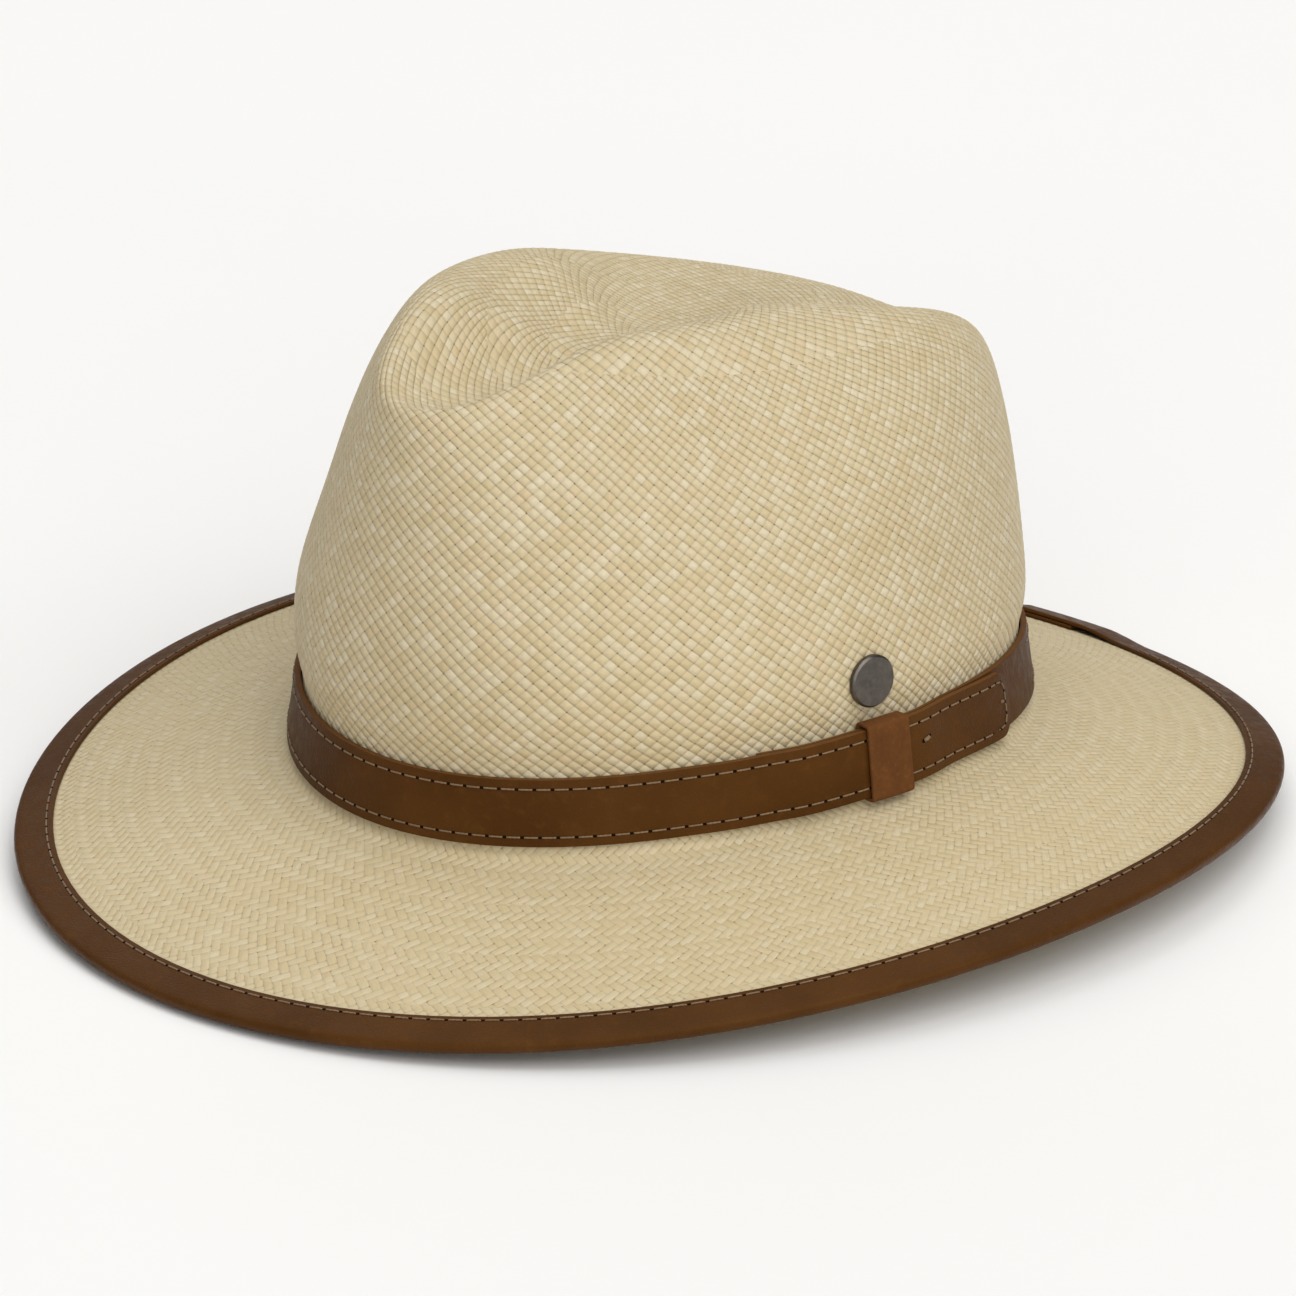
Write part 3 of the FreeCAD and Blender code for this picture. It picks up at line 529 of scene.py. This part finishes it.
def straw_material(name, twill):
    """Straw coloured strand by strand and crossing by crossing, from the mesh's strand coordinates."""
    g = Graph(name)
    p, q, _ = g.parts(g.node("ShaderNodeUVMap", uv_map="strands").outputs[0])
    place = g.place()
    # the strands wander a little, and a cell is (i, j), with its own place (fp, fq) from 0 to 1 across it
    sway = g.math("MULTIPLY", g.math("SUBTRACT", g.noise(place, 90.0), 0.5), 0.25)
    p, q = g.math("ADD", p, sway), g.math("SUBTRACT", q, sway)
    i, j = g.math("FLOOR", p), g.math("FLOOR", q)
    fp, fq = g.math("SUBTRACT", p, i), g.math("SUBTRACT", q, j)
    edge_p = g.math("ABSOLUTE", g.math("MULTIPLY_ADD", fp, 2.0, -1.0))
    edge_q = g.math("ABSOLUTE", g.math("MULTIPLY_ADD", fq, 2.0, -1.0))
    if twill:
        phase = g.math("FLOORED_MODULO", g.math("SUBTRACT", i, j), 4.0)
        second = g.math("GREATER_THAN", phase, 1.5)
        along_first = g.math("ABSOLUTE", g.math("SUBTRACT", fq, phase))
        along_second = g.math("ABSOLUTE", g.math("ADD", fp, g.math("SUBTRACT", phase, 3.0)))
        along = g.pick(second, along_first, along_second)
        across = g.pick(second, edge_p, edge_q)
    else:
        second = g.math("GREATER_THAN", g.math("FLOORED_MODULO", g.math("ADD", i, j), 2.0), 0.5)
    strand = g.pick(second, i, j)
    run = g.pick(second, q, p)
    side = g.pick(second, fp, fq)

    # every strand has its own tone, which changes along it; every crossing differs a little more
    slip = g.math("MULTIPLY", strand, TONE_SLIP)
    stretch = g.math("FLOOR", g.math("MULTIPLY", g.math("ADD", run, slip), TONE_RATE))
    strand_tone = g.chance(strand, stretch, second)
    cell_tone = g.chance(i, j, 5.0)
    fibre = g.noise(g.vector(g.math("MULTIPLY", side, 9.0), g.math("MULTIPLY", run, 0.9), strand), 1.0, 3.0)
    patches = g.noise(place, 28.0, 3.0)
    bold = 0.55 if twill else 1.0
    tone = g.blended(STRAW,
                     (cell_tone, 0.55, 1.0, 0.60 * bold, STRAW_PALE),
                     (cell_tone, 0.25, 0.0, 0.30 * bold, STRAW_DARK),
                     (strand_tone, 0.74, 1.0, 0.36 * bold, STRAW_WARM),
                     (strand_tone, 0.28, 0.0, 0.30 * bold, STRAW_DARK),
                     (fibre, 0.42, 0.75, 0.40 if twill else 0.28, STRAW_DARK),
                     (patches, 0.45, 0.75, 0.15, STRAW_DARK))

    # rounded cells: painted shade where they meet, darkest in a pinhole at some of the corners where four of
    # them leave the weave open; more painted shade outlines the crown's first family and darkens the brim's
    # second one
    corner = g.chance(g.math("ROUND", p), g.math("ROUND", q), 2.0)
    if twill:
        rim = rounded_square(g, across, along)
        # painted shade: the brim's second family of floats is darker, standing in for the light it catches less
        tone = g.tint(g.math("MULTIPLY", second, 0.16), tone, STRAW_DARK)
        line = g.span(rim, 0.84, 1.16, 0.0, g.span(g.noise(place, 120.0), 0.38, 0.64, 0.10, 0.40))
        hole_shade = g.math("MULTIPLY", g.span(rim, 0.95, 1.14), g.span(corner, 0.78, 0.96, 0.0, 0.80))
        shade = g.math("MAXIMUM", line, hole_shade)
    else:
        rim = rounded_square(g, edge_p, g.math("MULTIPLY", edge_q, 0.93))
        # painted shade: the first family's edges get an extra dark outline, where the light falls across them
        line = g.span(edge_p, 0.80, 1.0, 0.0, g.span(g.noise(place, 160.0), 0.4, 0.65, 0.12, 0.36))
        hole_shade = g.math("MULTIPLY", g.span(rim, 0.97, 1.13), g.span(corner, 0.50, 0.88, 0.25, 1.0))
        shade = g.math("MAXIMUM", g.math("MAXIMUM", g.span(rim, 0.80, 1.15, 0.0, 0.30), line), hole_shade)
    tone = g.tint(shade, tone, GAP_SHADE)

    height = g.math("SQRT", g.math("MULTIPLY_ADD", g.math("MULTIPLY", rim, rim), -0.70, 1.0))
    height = g.math("ADD", height, g.math("MULTIPLY", fibre, 0.14))
    height = g.math("ADD", height, g.math("MULTIPLY", cell_tone, 0.22))
    normal = g.bump(height, 0.00030 if twill else 0.00065)
    gloss = g.span(fibre, 0.3, 0.8, 0.50, 0.66)
    return g.finish(tone, gloss, normal, Specular_IOR_Level=0.32, Sheen_Weight=0.08)


def leather_material(name, base, dark, light, cut=None, roughness=(0.40, 0.56)):
    """Smooth aniline leather: cloudy colour, fine pores, painted shade in the grain's creases, and paler raw
    edges where cut is given.
    """
    g = Graph(name)
    place = g.place()
    cloud = g.noise(place, 38.0, 3.0, 0.5)
    mottle = g.noise(place, 300.0, 4.0, 0.6)
    pores = g.cells(place, 2600.0)
    creases = g.cells(place, 900.0, "DISTANCE_TO_EDGE")
    tone = g.tint(g.span(cloud, 0.30, 0.72, 0.35, 1.0), dark, base)
    # painted shade: the grain's creases are darkened towards the dark tone
    tone = g.blended(tone, (mottle, 0.50, 0.80, 0.35, light), (creases, 0.06, 0.0, 0.22, dark))
    if cut is not None:
        upright = g.parts(g.node("ShaderNodeNewGeometry").outputs["Normal"])[2]
        raw = g.span(g.math("ABSOLUTE", upright), 0.72, 0.96)
        raw = g.math("MULTIPLY", raw, g.span(mottle, 0.25, 0.6, 0.6, 1.0))
        tone = g.tint(raw, tone, cut)
    flats = g.math("MULTIPLY", g.span(creases, 0.0, 0.18), 0.7)
    height = g.math("ADD", flats, g.math("MULTIPLY", pores, 0.5))
    height = g.math("ADD", height, g.math("MULTIPLY", mottle, 0.8))
    normal = g.bump(height, 0.00010, 0.5)
    gloss = g.span(mottle, 0.3, 0.7, *roughness)
    return g.finish(tone, gloss, normal, Specular_IOR_Level=0.10, Specular_Tint=colour(255, 210, 165))


# ------------------------------------------------------------------------------- stitches and threads
THREAD_RADIUS, THREAD_REACH = 0.21, 0.30    # and how far a thread goes on past its CAD rod's ends
THREAD_SIDES, THREAD_STEPS = 10, 13
THREAD_LIFT = 0.62        # height of its middle over the leather, in radii
DIVE_FROM, DIVE_DEPTH = 0.72, 1.9     # past this share of its half length it dives, by so many radii
SLIM_FROM, SLIM_SHARE = 0.8, 0.35     # past this share it gets thinner, by this share
PLY_BULGE, PLY_TWIST = 0.16, 2.6      # how far its two plies stand out, and their twist in radians per mm
THREAD_FLATNESS = 0.85
HOLE_RADIUS, HOLE_SIDES = 0.36, 12
HOLE_STRETCH = 1.15       # a hole's length along the seam, to its width
HOLE_GAP = 0.12           # from the thread's end to its hole's middle
HOLE_RINGS = ((1.0, 0.010), (0.82, 0.045), (0.55, 0.020))    # share of the radius, height over the leather
SAME_POINT = 0.001        # points of a solid are merged to this many millimetres


def separate_solids(name):
    """The points of each separate solid of a CAD node."""
    places, faces = node_points(name)
    keys = [tuple(k) for k in np.round(places / SAME_POINT).astype(int)]
    number = {key: n for n, key in enumerate(dict.fromkeys(keys))}
    merged = [number[key] for key in keys]
    parent = list(range(len(number)))

    def root(n):
        while parent[n] != n:
            parent[n] = parent[parent[n]]
            n = parent[n]
        return n

    for face in faces:
        first = root(merged[face[0]])
        for corner in face[1:]:
            parent[root(merged[corner])] = first
    groups = {}
    for index, n in enumerate(merged):
        groups.setdefault(root(n), []).append(index)
    return [places[members] for members in groups.values()]


def rod_ends(points):
    """The two ends of a long thin solid."""
    middle = points.mean(axis=0)
    direction = np.linalg.svd(points - middle, full_matrices=False)[2][0]
    reach = np.abs((points - middle) @ direction).max()
    return middle - direction * reach, middle + direction * reach


def face_at(tree, point):
    """Nearest point of a surface and its normal there."""
    place, normal, _, _ = tree.find_nearest(Vector(point))
    return np.array(place), np.array(normal)


def squared(vector, upright):
    """The vector made square to a unit vector, at length one."""
    vector = vector - upright * upright.dot(vector)
    return vector / np.linalg.norm(vector)


class Soup:
    """Plain mesh data gathered from many small pieces."""

    def __init__(self):
        self.points, self.faces = [], []

    def add(self, points, faces):
        start = len(self.points)
        self.points.extend(points)
        self.faces.extend([tuple(start + n for n in face) for face in faces])

    def build(self, name):
        mesh = bpy.data.meshes.new(name)
        mesh.from_pydata(head_to_row(np.array(self.points)).tolist(), [], self.faces)
        mesh.polygons.foreach_set("use_smooth", [True] * len(mesh.polygons))
        mesh.update()
        return link(name, mesh)


def add_thread(soup, start, end, up, radius):
    """Two-ply thread from hole to hole: it dives into the leather at both ends."""
    along = end - start
    length = np.linalg.norm(along)
    along = along / length
    side = np.cross(up, along)
    points, faces = [], []
    for step in range(THREAD_STEPS):
        share = step / (THREAD_STEPS - 1)
        out = abs(2 * share - 1)
        dive = max(out - DIVE_FROM, 0.0) / (1 - DIVE_FROM)
        centre = start + along * (share * length) + up * (THREAD_LIFT - DIVE_DEPTH * dive ** 2) * radius
        slim = 1.0 - SLIM_SHARE * max(out - SLIM_FROM, 0.0) / (1 - SLIM_FROM)
        for n in range(THREAD_SIDES):
            turn = 2 * math.pi * n / THREAD_SIDES
            ply = 1.0 + PLY_BULGE * math.cos(2 * (turn - PLY_TWIST * share * length))
            reach = radius * slim * ply
            points.append(centre + side * (math.cos(turn) * reach)
                          + up * (math.sin(turn) * reach * THREAD_FLATNESS))
    for step in range(THREAD_STEPS - 1):
        for n in range(THREAD_SIDES):
            a, b = step * THREAD_SIDES + n, step * THREAD_SIDES + (n + 1) % THREAD_SIDES
            faces.append((a, b, b + THREAD_SIDES, a + THREAD_SIDES))
    faces.append(tuple(range(THREAD_SIDES - 1, -1, -1)))
    faces.append(tuple(range(len(points) - THREAD_SIDES, len(points))))
    soup.add(points, faces)


def add_hole(soup, centre, along, up, radius):
    """Needle hole as a shallow dish that lies on the leather, its floor lower than its lip, painted dark as the
    shade inside the hole.
    """
    side = np.cross(up, along)
    points = []
    for share, lift in HOLE_RINGS:
        for n in range(HOLE_SIDES):
            turn = 2 * math.pi * n / HOLE_SIDES
            reach = radius * share
            points.append(centre + along * (math.cos(turn) * reach * HOLE_STRETCH)
                          + side * (math.sin(turn) * reach) + up * lift)
    faces = []
    last = len(points) - HOLE_SIDES
    for ring in range(0, last, HOLE_SIDES):
        for n in range(HOLE_SIDES):
            a, b = ring + n, ring + (n + 1) % HOLE_SIDES
            faces.append((a, b, b + HOLE_SIDES, a + HOLE_SIDES))
    faces.append(tuple(range(last, last + HOLE_SIDES)))
    faces.append(tuple(range(HOLE_SIDES - 1, -1, -1)))
    soup.add(points, faces)


def seam_rods(node):
    """A seam's stitches as (start, end), in order round the head from just past the seam's widest gap."""
    rods = [rod_ends(rod) for rod in separate_solids(node)]
    rods = [pair if pair[0][0] * pair[1][1] > pair[0][1] * pair[1][0] else pair[::-1] for pair in rods]
    turns = np.array([math.atan2(*(start + end)[1::-1]) for start, end in rods])
    order = np.argsort(turns)
    gaps = np.diff(turns[order], append=turns[order[0]] + 2 * math.pi)
    order = np.roll(order, -1 - int(np.argmax(gaps)))
    return [rods[n] for n in order]


TIP_MARGIN, TIP_CURVE = 2.4, 3.1      # the stitch line inside the tongue's blunt end, and its corners
TIP_PITCH, TIP_DROPPED = 3.0, 6.5     # its stitches, and the length of seam that they take over
TIP_GAP = 1.2             # from the last kept stitch to the line's start
TIP_FALL = 0.6            # the surface falls this much within an EDGE_STEP at the tongue's end
EDGE_STEP = 0.1
NEAR_TIP = -4             # a stitch of each seam that lies on the tongue, just before its end
BESIDE = 12.0             # rays start this far outside the strap; stitches further off are elsewhere on it
CORNER_POINTS = 9
PITCH_PARTS, STITCH_FROM, STITCH_TO = 10, 2, 8    # a stitch takes up these parts of its pitch


def turn_the_tip(tree, upper, lower):
    """The strap's two seams stopped short of the tongue's end, and the stitches that join them round it."""
    near = [(start + end) / 2 for start, end in (upper[NEAR_TIP], lower[NEAR_TIP])]
    level = (near[0][2] + near[1][2]) / 2
    origin = np.array([*((near[0] + near[1]) / 2)[:2], 0.0])
    way = (upper[NEAR_TIP + 1][1] - upper[NEAR_TIP][0]) * (1, 1, 0)
    way /= np.linalg.norm(way)
    outward = np.array([way[1], -way[0], 0.0])

    def depth(travel):
        start = origin + way * travel + outward * BESIDE + (0, 0, level)
        return (Vector(start) - tree.ray_cast(Vector(start), Vector(-outward))[0]).length

    tip = 0.0
    while depth(tip + EDGE_STEP) - depth(tip) < TIP_FALL:
        tip += EDGE_STEP
    tip -= TIP_MARGIN

    def stays(rod):
        before = (rod[1] - origin) @ way < tip - TIP_DROPPED
        return before or rod[0] @ way < 0 or abs(rod[0] @ outward - origin @ outward) > BESIDE

    def corner(height, sign, turns):
        return [(tip - TIP_CURVE * (1 - math.sin(turn)), height + sign * TIP_CURVE * (1 - math.cos(turn)))
                for turn in turns]

    upper, lower = [[rod for rod in row if stays(rod)] for row in (upper, lower)]
    top, foot = upper[-1][1], lower[-1][1]
    quarter = np.linspace(0, math.pi / 2, CORNER_POINTS)
    path = np.array([((top - origin) @ way + TIP_GAP, top[2]), *corner(top[2], -1, quarter),
                     *corner(foot[2], 1, quarter[::-1]), ((foot - origin) @ way + TIP_GAP, foot[2])])
    count = round(np.hypot(*np.diff(path, axis=0).T).sum() / TIP_PITCH)
    fine, _ = by_arc(path, count * PITCH_PARTS + 1)
    spots = [face_at(tree, origin + way * travel + (0, 0, rise))[0] for travel, rise in fine]
    starts = range(0, count * PITCH_PARTS, PITCH_PARTS)
    return upper, lower, [(spots[n + STITCH_FROM], spots[n + STITCH_TO]) for n in starts]


def place_threads(threads, holes, node, name, hole_name):
    """The threads as one piece in place of a CAD node, and the needle holes, if any, as another."""
    thread = threads.build(name)
    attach(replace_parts(thread, node), HAT)
    made = [thread]
    if holes.points:
        hole_shade = holes.build(hole_name)
        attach(hole_shade, HAT)
        made.append(hole_shade)
    return made


def sew(node, rods, leather, name, hole_radius=HOLE_RADIUS, reach=THREAD_REACH):
    """Thread and needle holes in place of a CAD node's rods, on the face of a leather node."""
    tree = node_tree(leather)
    threads, holes = Soup(), Soup()
    for start, end in rods:
        along = (end - start) / np.linalg.norm(end - start)
        up = squared(face_at(tree, (start + end) / 2)[1], along)
        start_on, end_on = face_at(tree, start)[0], face_at(tree, end)[0]
        add_thread(threads, start_on - along * reach, end_on + along * reach, up, THREAD_RADIUS)
        if hole_radius:
            for spot, way in ((start_on, -1), (end_on, 1)):
                add_hole(holes, spot + along * way * (reach + HOLE_GAP), along, up, hole_radius)
    return place_threads(threads, holes, node, name, name + "_holes")


# node, half its length, the thread's radius, its rise for its length, the holes' radius or 0 for none
TACKS = (("front_tack", 0.95, 0.46, 0.25, 0.55), ("rear_tack", 0.30, 0.40, 0.0, 0.0))
TACK_REACH, TACK_HOLE_REACH = 0.2, 0.35     # past the half length: the thread's ends, the holes' middles


def make_tacks():
    """Short thick thread bars that tack the tongue down."""
    tree = node_tree("hatband_strap")
    made = []
    for node, half, radius, rise, hole_radius in TACKS:
        places, _ = node_points(node)
        outer = places[np.argmax(np.hypot(places[:, 0], places[:, 1]))]
        head, up = face_at(tree, outer)
        along = np.cross(np.array([0, 0, 1.0]), up)
        along = squared(along / np.linalg.norm(along) + np.array([0, 0, rise]), up)
        threads, holes = Soup(), Soup()
        ends = along * (half + TACK_REACH)
        add_thread(threads, head - ends, head + ends, up, radius)
        if hole_radius:
            for way in (-1, 1):
                add_hole(holes, head + along * way * (half + TACK_HOLE_REACH), along, up, hole_radius)
        made += place_threads(threads, holes, node, node + "_thread", node + "_holes")
    return made


# ------------------------------------------------------------------------------- finish of CAD nodes
WELD_GAP = 2e-6           # metres: the CAD's triangles are joined up before their edges are rounded
EDGE_SEGMENTS = 3


def dress(node, material, round_edges=0.0, sharp_angle=35.0):
    """A carried-over CAD node gets its material, and its sharp edges are rounded by some millimetres."""
    thing = frame["nodes"][node]
    thing.data.materials.clear()
    thing.data.materials.append(material)
    weld = thing.modifiers.new("weld", "WELD")
    weld.merge_threshold = WELD_GAP
    if round_edges:
        bevel = thing.modifiers.new("round", "BEVEL")
        bevel.width = round_edges * MM
        bevel.segments = EDGE_SEGMENTS
        bevel.limit_method = "ANGLE"
        bevel.angle_limit = math.radians(sharp_angle)
        bevel.use_clamp_overlap = True
        bevel.harden_normals = False


def metal_material(name, base, dark, roughness):
    """Dull metal: worn in patches, with fine scratches that run up and down."""
    g = Graph(name)
    place = g.place()
    worn = g.noise(place, 380.0, 4.0, 0.65)
    scales = (4000.0, 4000.0, 260.0)
    stretched = [g.math("MULTIPLY", part, scale) for part, scale in zip(g.parts(place), scales)]
    scratch = g.noise(g.vector(*stretched), 1.0, 2.0)
    tone = g.tint(g.span(worn, 0.3, 0.7), dark, base)
    marks = g.math("ADD", g.math("MULTIPLY", worn, 0.6), g.math("MULTIPLY", scratch, 0.4))
    gloss = g.span(marks, 0.3, 0.7, roughness - 0.06, roughness + 0.08)
    normal = g.bump(scratch, 0.00002, 0.4)
    return g.finish(tone, gloss, normal, Metallic=1.0)


def suede_material(name, base, dark, light):
    """Nubuck: short nap, brushed one way in places and the other way in others, its sheen painted as lighter and
    darker patches.
    """
    g = Graph(name)
    place = g.place()
    nap = g.noise(place, 700.0, 5.0, 0.7)
    brushed_sheen = g.noise(place, 130.0, 3.0, 0.6)
    # painted sheen: patches of the nap are painted darker or lighter, as the way it lies would catch the light
    tone = g.tint(g.span(brushed_sheen, 0.30, 0.70, 0.45, 1.0), dark, base)
    tone = g.blended(tone, (nap, 0.50, 0.78, 0.55, light), (nap, 0.46, 0.25, 0.55, dark))
    normal = g.bump(nap, 0.00018, 0.6)
    return g.finish(tone, 0.88, normal, Specular_IOR_Level=0.15, Sheen_Weight=0.20, Sheen_Roughness=0.5,
                    Sheen_Tint=colour(190, 130, 80))


def cloth_material(name, base, dark, pitch):
    """Fine woven tape or ribbon, with its threads a pitch apart in metres."""
    g = Graph(name)
    x, y, z = g.parts(g.place())
    warp = g.math("SINE", g.math("MULTIPLY", g.math("ADD", x, y), 2 * math.pi / pitch))
    weft = g.math("SINE", g.math("MULTIPLY", z, 2 * math.pi / pitch))
    weave = g.math("MULTIPLY_ADD", g.math("MULTIPLY", warp, weft), 0.5, 0.5)
    cloud = g.noise(g.place(), 200.0, 3.0)
    tone = g.tint(g.math("MULTIPLY", g.math("ADD", weave, cloud), 0.35), base, dark)
    return g.finish(tone, 0.75, g.bump(weave, 0.00006, 0.6), Sheen_Weight=0.15)


def thread_material(name, base, dark):
    """Thread with a little fluff, darker in places."""
    g = Graph(name)
    fluff = g.noise(g.place(), 2400.0, 4.0, 0.7)
    drift = g.noise(g.place(), 60.0)
    tone = g.blended(base, (fluff, 0.35, 0.7, 0.55, dark), (drift, 0.45, 0.7, 0.35, dark))
    return g.finish(tone, 0.72, g.bump(fluff, 0.00005, 0.5), Sheen_Weight=0.1)


def hole_shade_material(name, shade):
    """Painted shade for the inside of a needle hole."""
    g = Graph(name)
    tone = g.tint(g.noise(g.place(), 900.0), shade, colour(24, 14, 8))
    return g.finish(tone, 0.95, Specular_IOR_Level=0.05)


# --------------------------------------------------------------------------------------------- build
# each leather's base, dark and light tone
STRAP_COLOURS = (colour(84, 52, 20), colour(64, 37, 11), colour(102, 67, 30))
BINDING_COLOURS = (colour(82, 51, 22), colour(64, 38, 13), colour(100, 66, 32))
NUBUCK_COLOURS = (colour(100, 61, 27), colour(80, 45, 18), colour(124, 79, 40))
LINING_COLOURS = (colour(186, 140, 92), colour(160, 114, 70), colour(206, 164, 118))


def build_straw():
    crown, brim, lengths = sample_straw(CROWN_ROWS, BRIM_ROWS)
    crown_piece = straw_shell("straw_crown", crown, lengths[0], CROWN_ZONES, CROWN_STEEPNESS, CROWN_COLUMNS,
                              twill=False, closed_pole=True)
    brim_piece = straw_shell("straw_brim", brim, lengths[1], BRIM_ZONES, BRIM_STEEPNESS, BRIM_COLUMNS,
                             twill=True, closed_pole=False)
    for piece, twill in ((crown_piece, False), (brim_piece, True)):
        piece.data.materials.append(straw_material(piece.name, twill))
        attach(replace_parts(piece, "woven_body"), HAT)


def build_leather():
    strap = leather_material("strap_leather", *STRAP_COLOURS, cut=colour(104, 68, 34))
    binding = leather_material("binding_leather", *BINDING_COLOURS, roughness=(0.34, 0.50))
    nubuck = suede_material("keeper_nubuck", *NUBUCK_COLOURS)
    lining = leather_material("sweatband_leather", *LINING_COLOURS, cut=colour(206, 170, 128))
    dress("hatband_strap", strap, 0.35)
    dress("edge_binding", binding, 0.25)
    dress("strap_keeper", nubuck, 0.35)
    dress("sweatband", lining, 0.25)


# node, the leather it is sewn on, the new piece's name, its holes' radius or 0 for none, its threads' reach
PLAIN_SEAMS = (("binding_stitching", "edge_binding", "binding_thread", HOLE_RADIUS, THREAD_REACH),
               ("sweatband_stitching", "sweatband", "sweatband_thread", HOLE_RADIUS, 0.25),
               ("sweatband_joint_thread", "sweatband", "sweatband_joint_seam", 0.0, 0.10))


def build_threads():
    thread = thread_material("thread", colour(130, 106, 78), colour(94, 72, 48))
    # the needle holes' dark dishes are painted shade
    hole_shade = hole_shade_material("needle_hole_shade", colour(22, 12, 6))
    upper, lower, round_tip = turn_the_tip(node_tree("hatband_strap"), seam_rods("strap_upper_stitching"),
                                           seam_rods("strap_lower_stitching"))
    made = sew("strap_upper_stitching", upper + round_tip, "hatband_strap", "strap_upper_thread")
    made += sew("strap_lower_stitching", lower, "hatband_strap", "strap_lower_thread")
    for node, leather, name, hole_radius, reach in PLAIN_SEAMS:
        made += sew(node, seam_rods(node), leather, name, hole_radius, reach)
    made += make_tacks()
    for piece in made:
        piece.data.materials.append(hole_shade if piece.name.endswith("_holes") else thread)


def build_small_parts():
    gunmetal = metal_material("badge_gunmetal", colour(110, 104, 98), colour(88, 83, 78), 0.38)
    steel = metal_material("plain_steel", colour(170, 168, 164), colour(130, 128, 124), 0.30)
    label = cloth_material("label_cloth", colour(238, 232, 220), colour(206, 198, 182), pitch=0.0005)
    ribbon = cloth_material("bow_ribbon", colour(112, 74, 42), colour(80, 50, 28), pitch=0.0006)
    cover = cloth_material("reed_cover", colour(200, 172, 132), colour(168, 138, 100), pitch=0.0008)
    dress("badge", gunmetal, 0.12, sharp_angle=30.0)
    dress("badge_prongs", steel, 0.05)
    dress("badge_washer", steel, 0.08)
    dress("size_label", label, 0.08)
    dress("sweatband_bow", ribbon, 0.15)
    dress("sweatband_reed", cover)


FLOOR_REACH, FLOOR_TILES = 6.0, 24
WORLD_STRENGTH = 0.12
LAMP_SPREAD = 50.0
# wide soft lamps without fall-off: name, bearing from the camera's side, height, both in degrees, and power
LAMPS = (("key", 45.0, 50.0, 1.45), ("front", 0.0, 25.0, 1.20), ("top", 0.0, 90.0, 0.95),
         ("back", 190.0, 45.0, 0.50))


def towards(azimuth, elevation):
    """Unit vector towards a bearing and a height in degrees, the bearing counted from -y towards +x."""
    turn, rise = math.radians(azimuth), math.radians(elevation)
    return Vector((math.sin(turn) * math.cos(rise), -math.cos(turn) * math.cos(rise), math.sin(rise)))


def build_studio():
    floor_mesh = bpy.data.meshes.new("floor")
    line = np.linspace(-FLOOR_REACH, FLOOR_REACH, FLOOR_TILES + 1)
    points = [(x, y, 0.0) for y in line for x in line]
    corners = [row * len(line) + n for row in range(FLOOR_TILES) for n in range(FLOOR_TILES)]
    floor_mesh.from_pydata(points, [], [(c, c + 1, c + len(line) + 1, c + len(line)) for c in corners])
    floor = link("floor", floor_mesh)
    g = Graph("floor_paper")
    tone = g.tint(g.noise(g.place(), 3.0), colour(247, 246, 244), colour(243, 242, 240))
    floor_mesh.materials.append(g.finish(tone, 0.9, Specular_IOR_Level=0.1))

    world = bpy.data.worlds.new("studio")
    bpy.context.scene.world = world
    world.use_nodes = True
    background = world.node_tree.nodes["Background"]
    background.inputs["Color"].default_value = (1.0, 1.0, 1.0, 1.0)
    background.inputs["Strength"].default_value = WORLD_STRENGTH

    for name, bearing, height, power in LAMPS:
        data = bpy.data.lights.new(name, "SUN")
        data.angle = math.radians(LAMP_SPREAD)
        data.energy = power
        lamp = link(name, data)
        light_travels = -towards(VIEW_AZIMUTH + bearing, height)
        lamp.rotation_euler = light_travels.to_track_quat("-Z", "Y").to_euler()


def build_camera():
    back = towards(VIEW_AZIMUTH, VIEW_ELEVATION)
    right = towards(VIEW_AZIMUTH + 90.0, 0.0)
    axes = Matrix((right, back.cross(right), back)).transposed()
    data = bpy.data.cameras.new("camera")
    data.sensor_width = VIEW_SENSOR
    data.lens = VIEW_LENS
    data.shift_x, data.shift_y = VIEW_SHIFT
    camera = link("camera", data)
    turned = (HEAD_TURN @ axes).to_4x4()
    camera.matrix_world = Matrix.Translation(HEAD_ORIGIN + HEAD_TURN @ back * VIEW_DISTANCE) @ turned
    bpy.context.scene.camera = camera


build_straw()
build_leather()
build_threads()
build_small_parts()
build_studio()
build_camera()

scene_view = bpy.context.scene.view_settings
scene_view.view_transform = "Standard"
scene_view.look = "None"
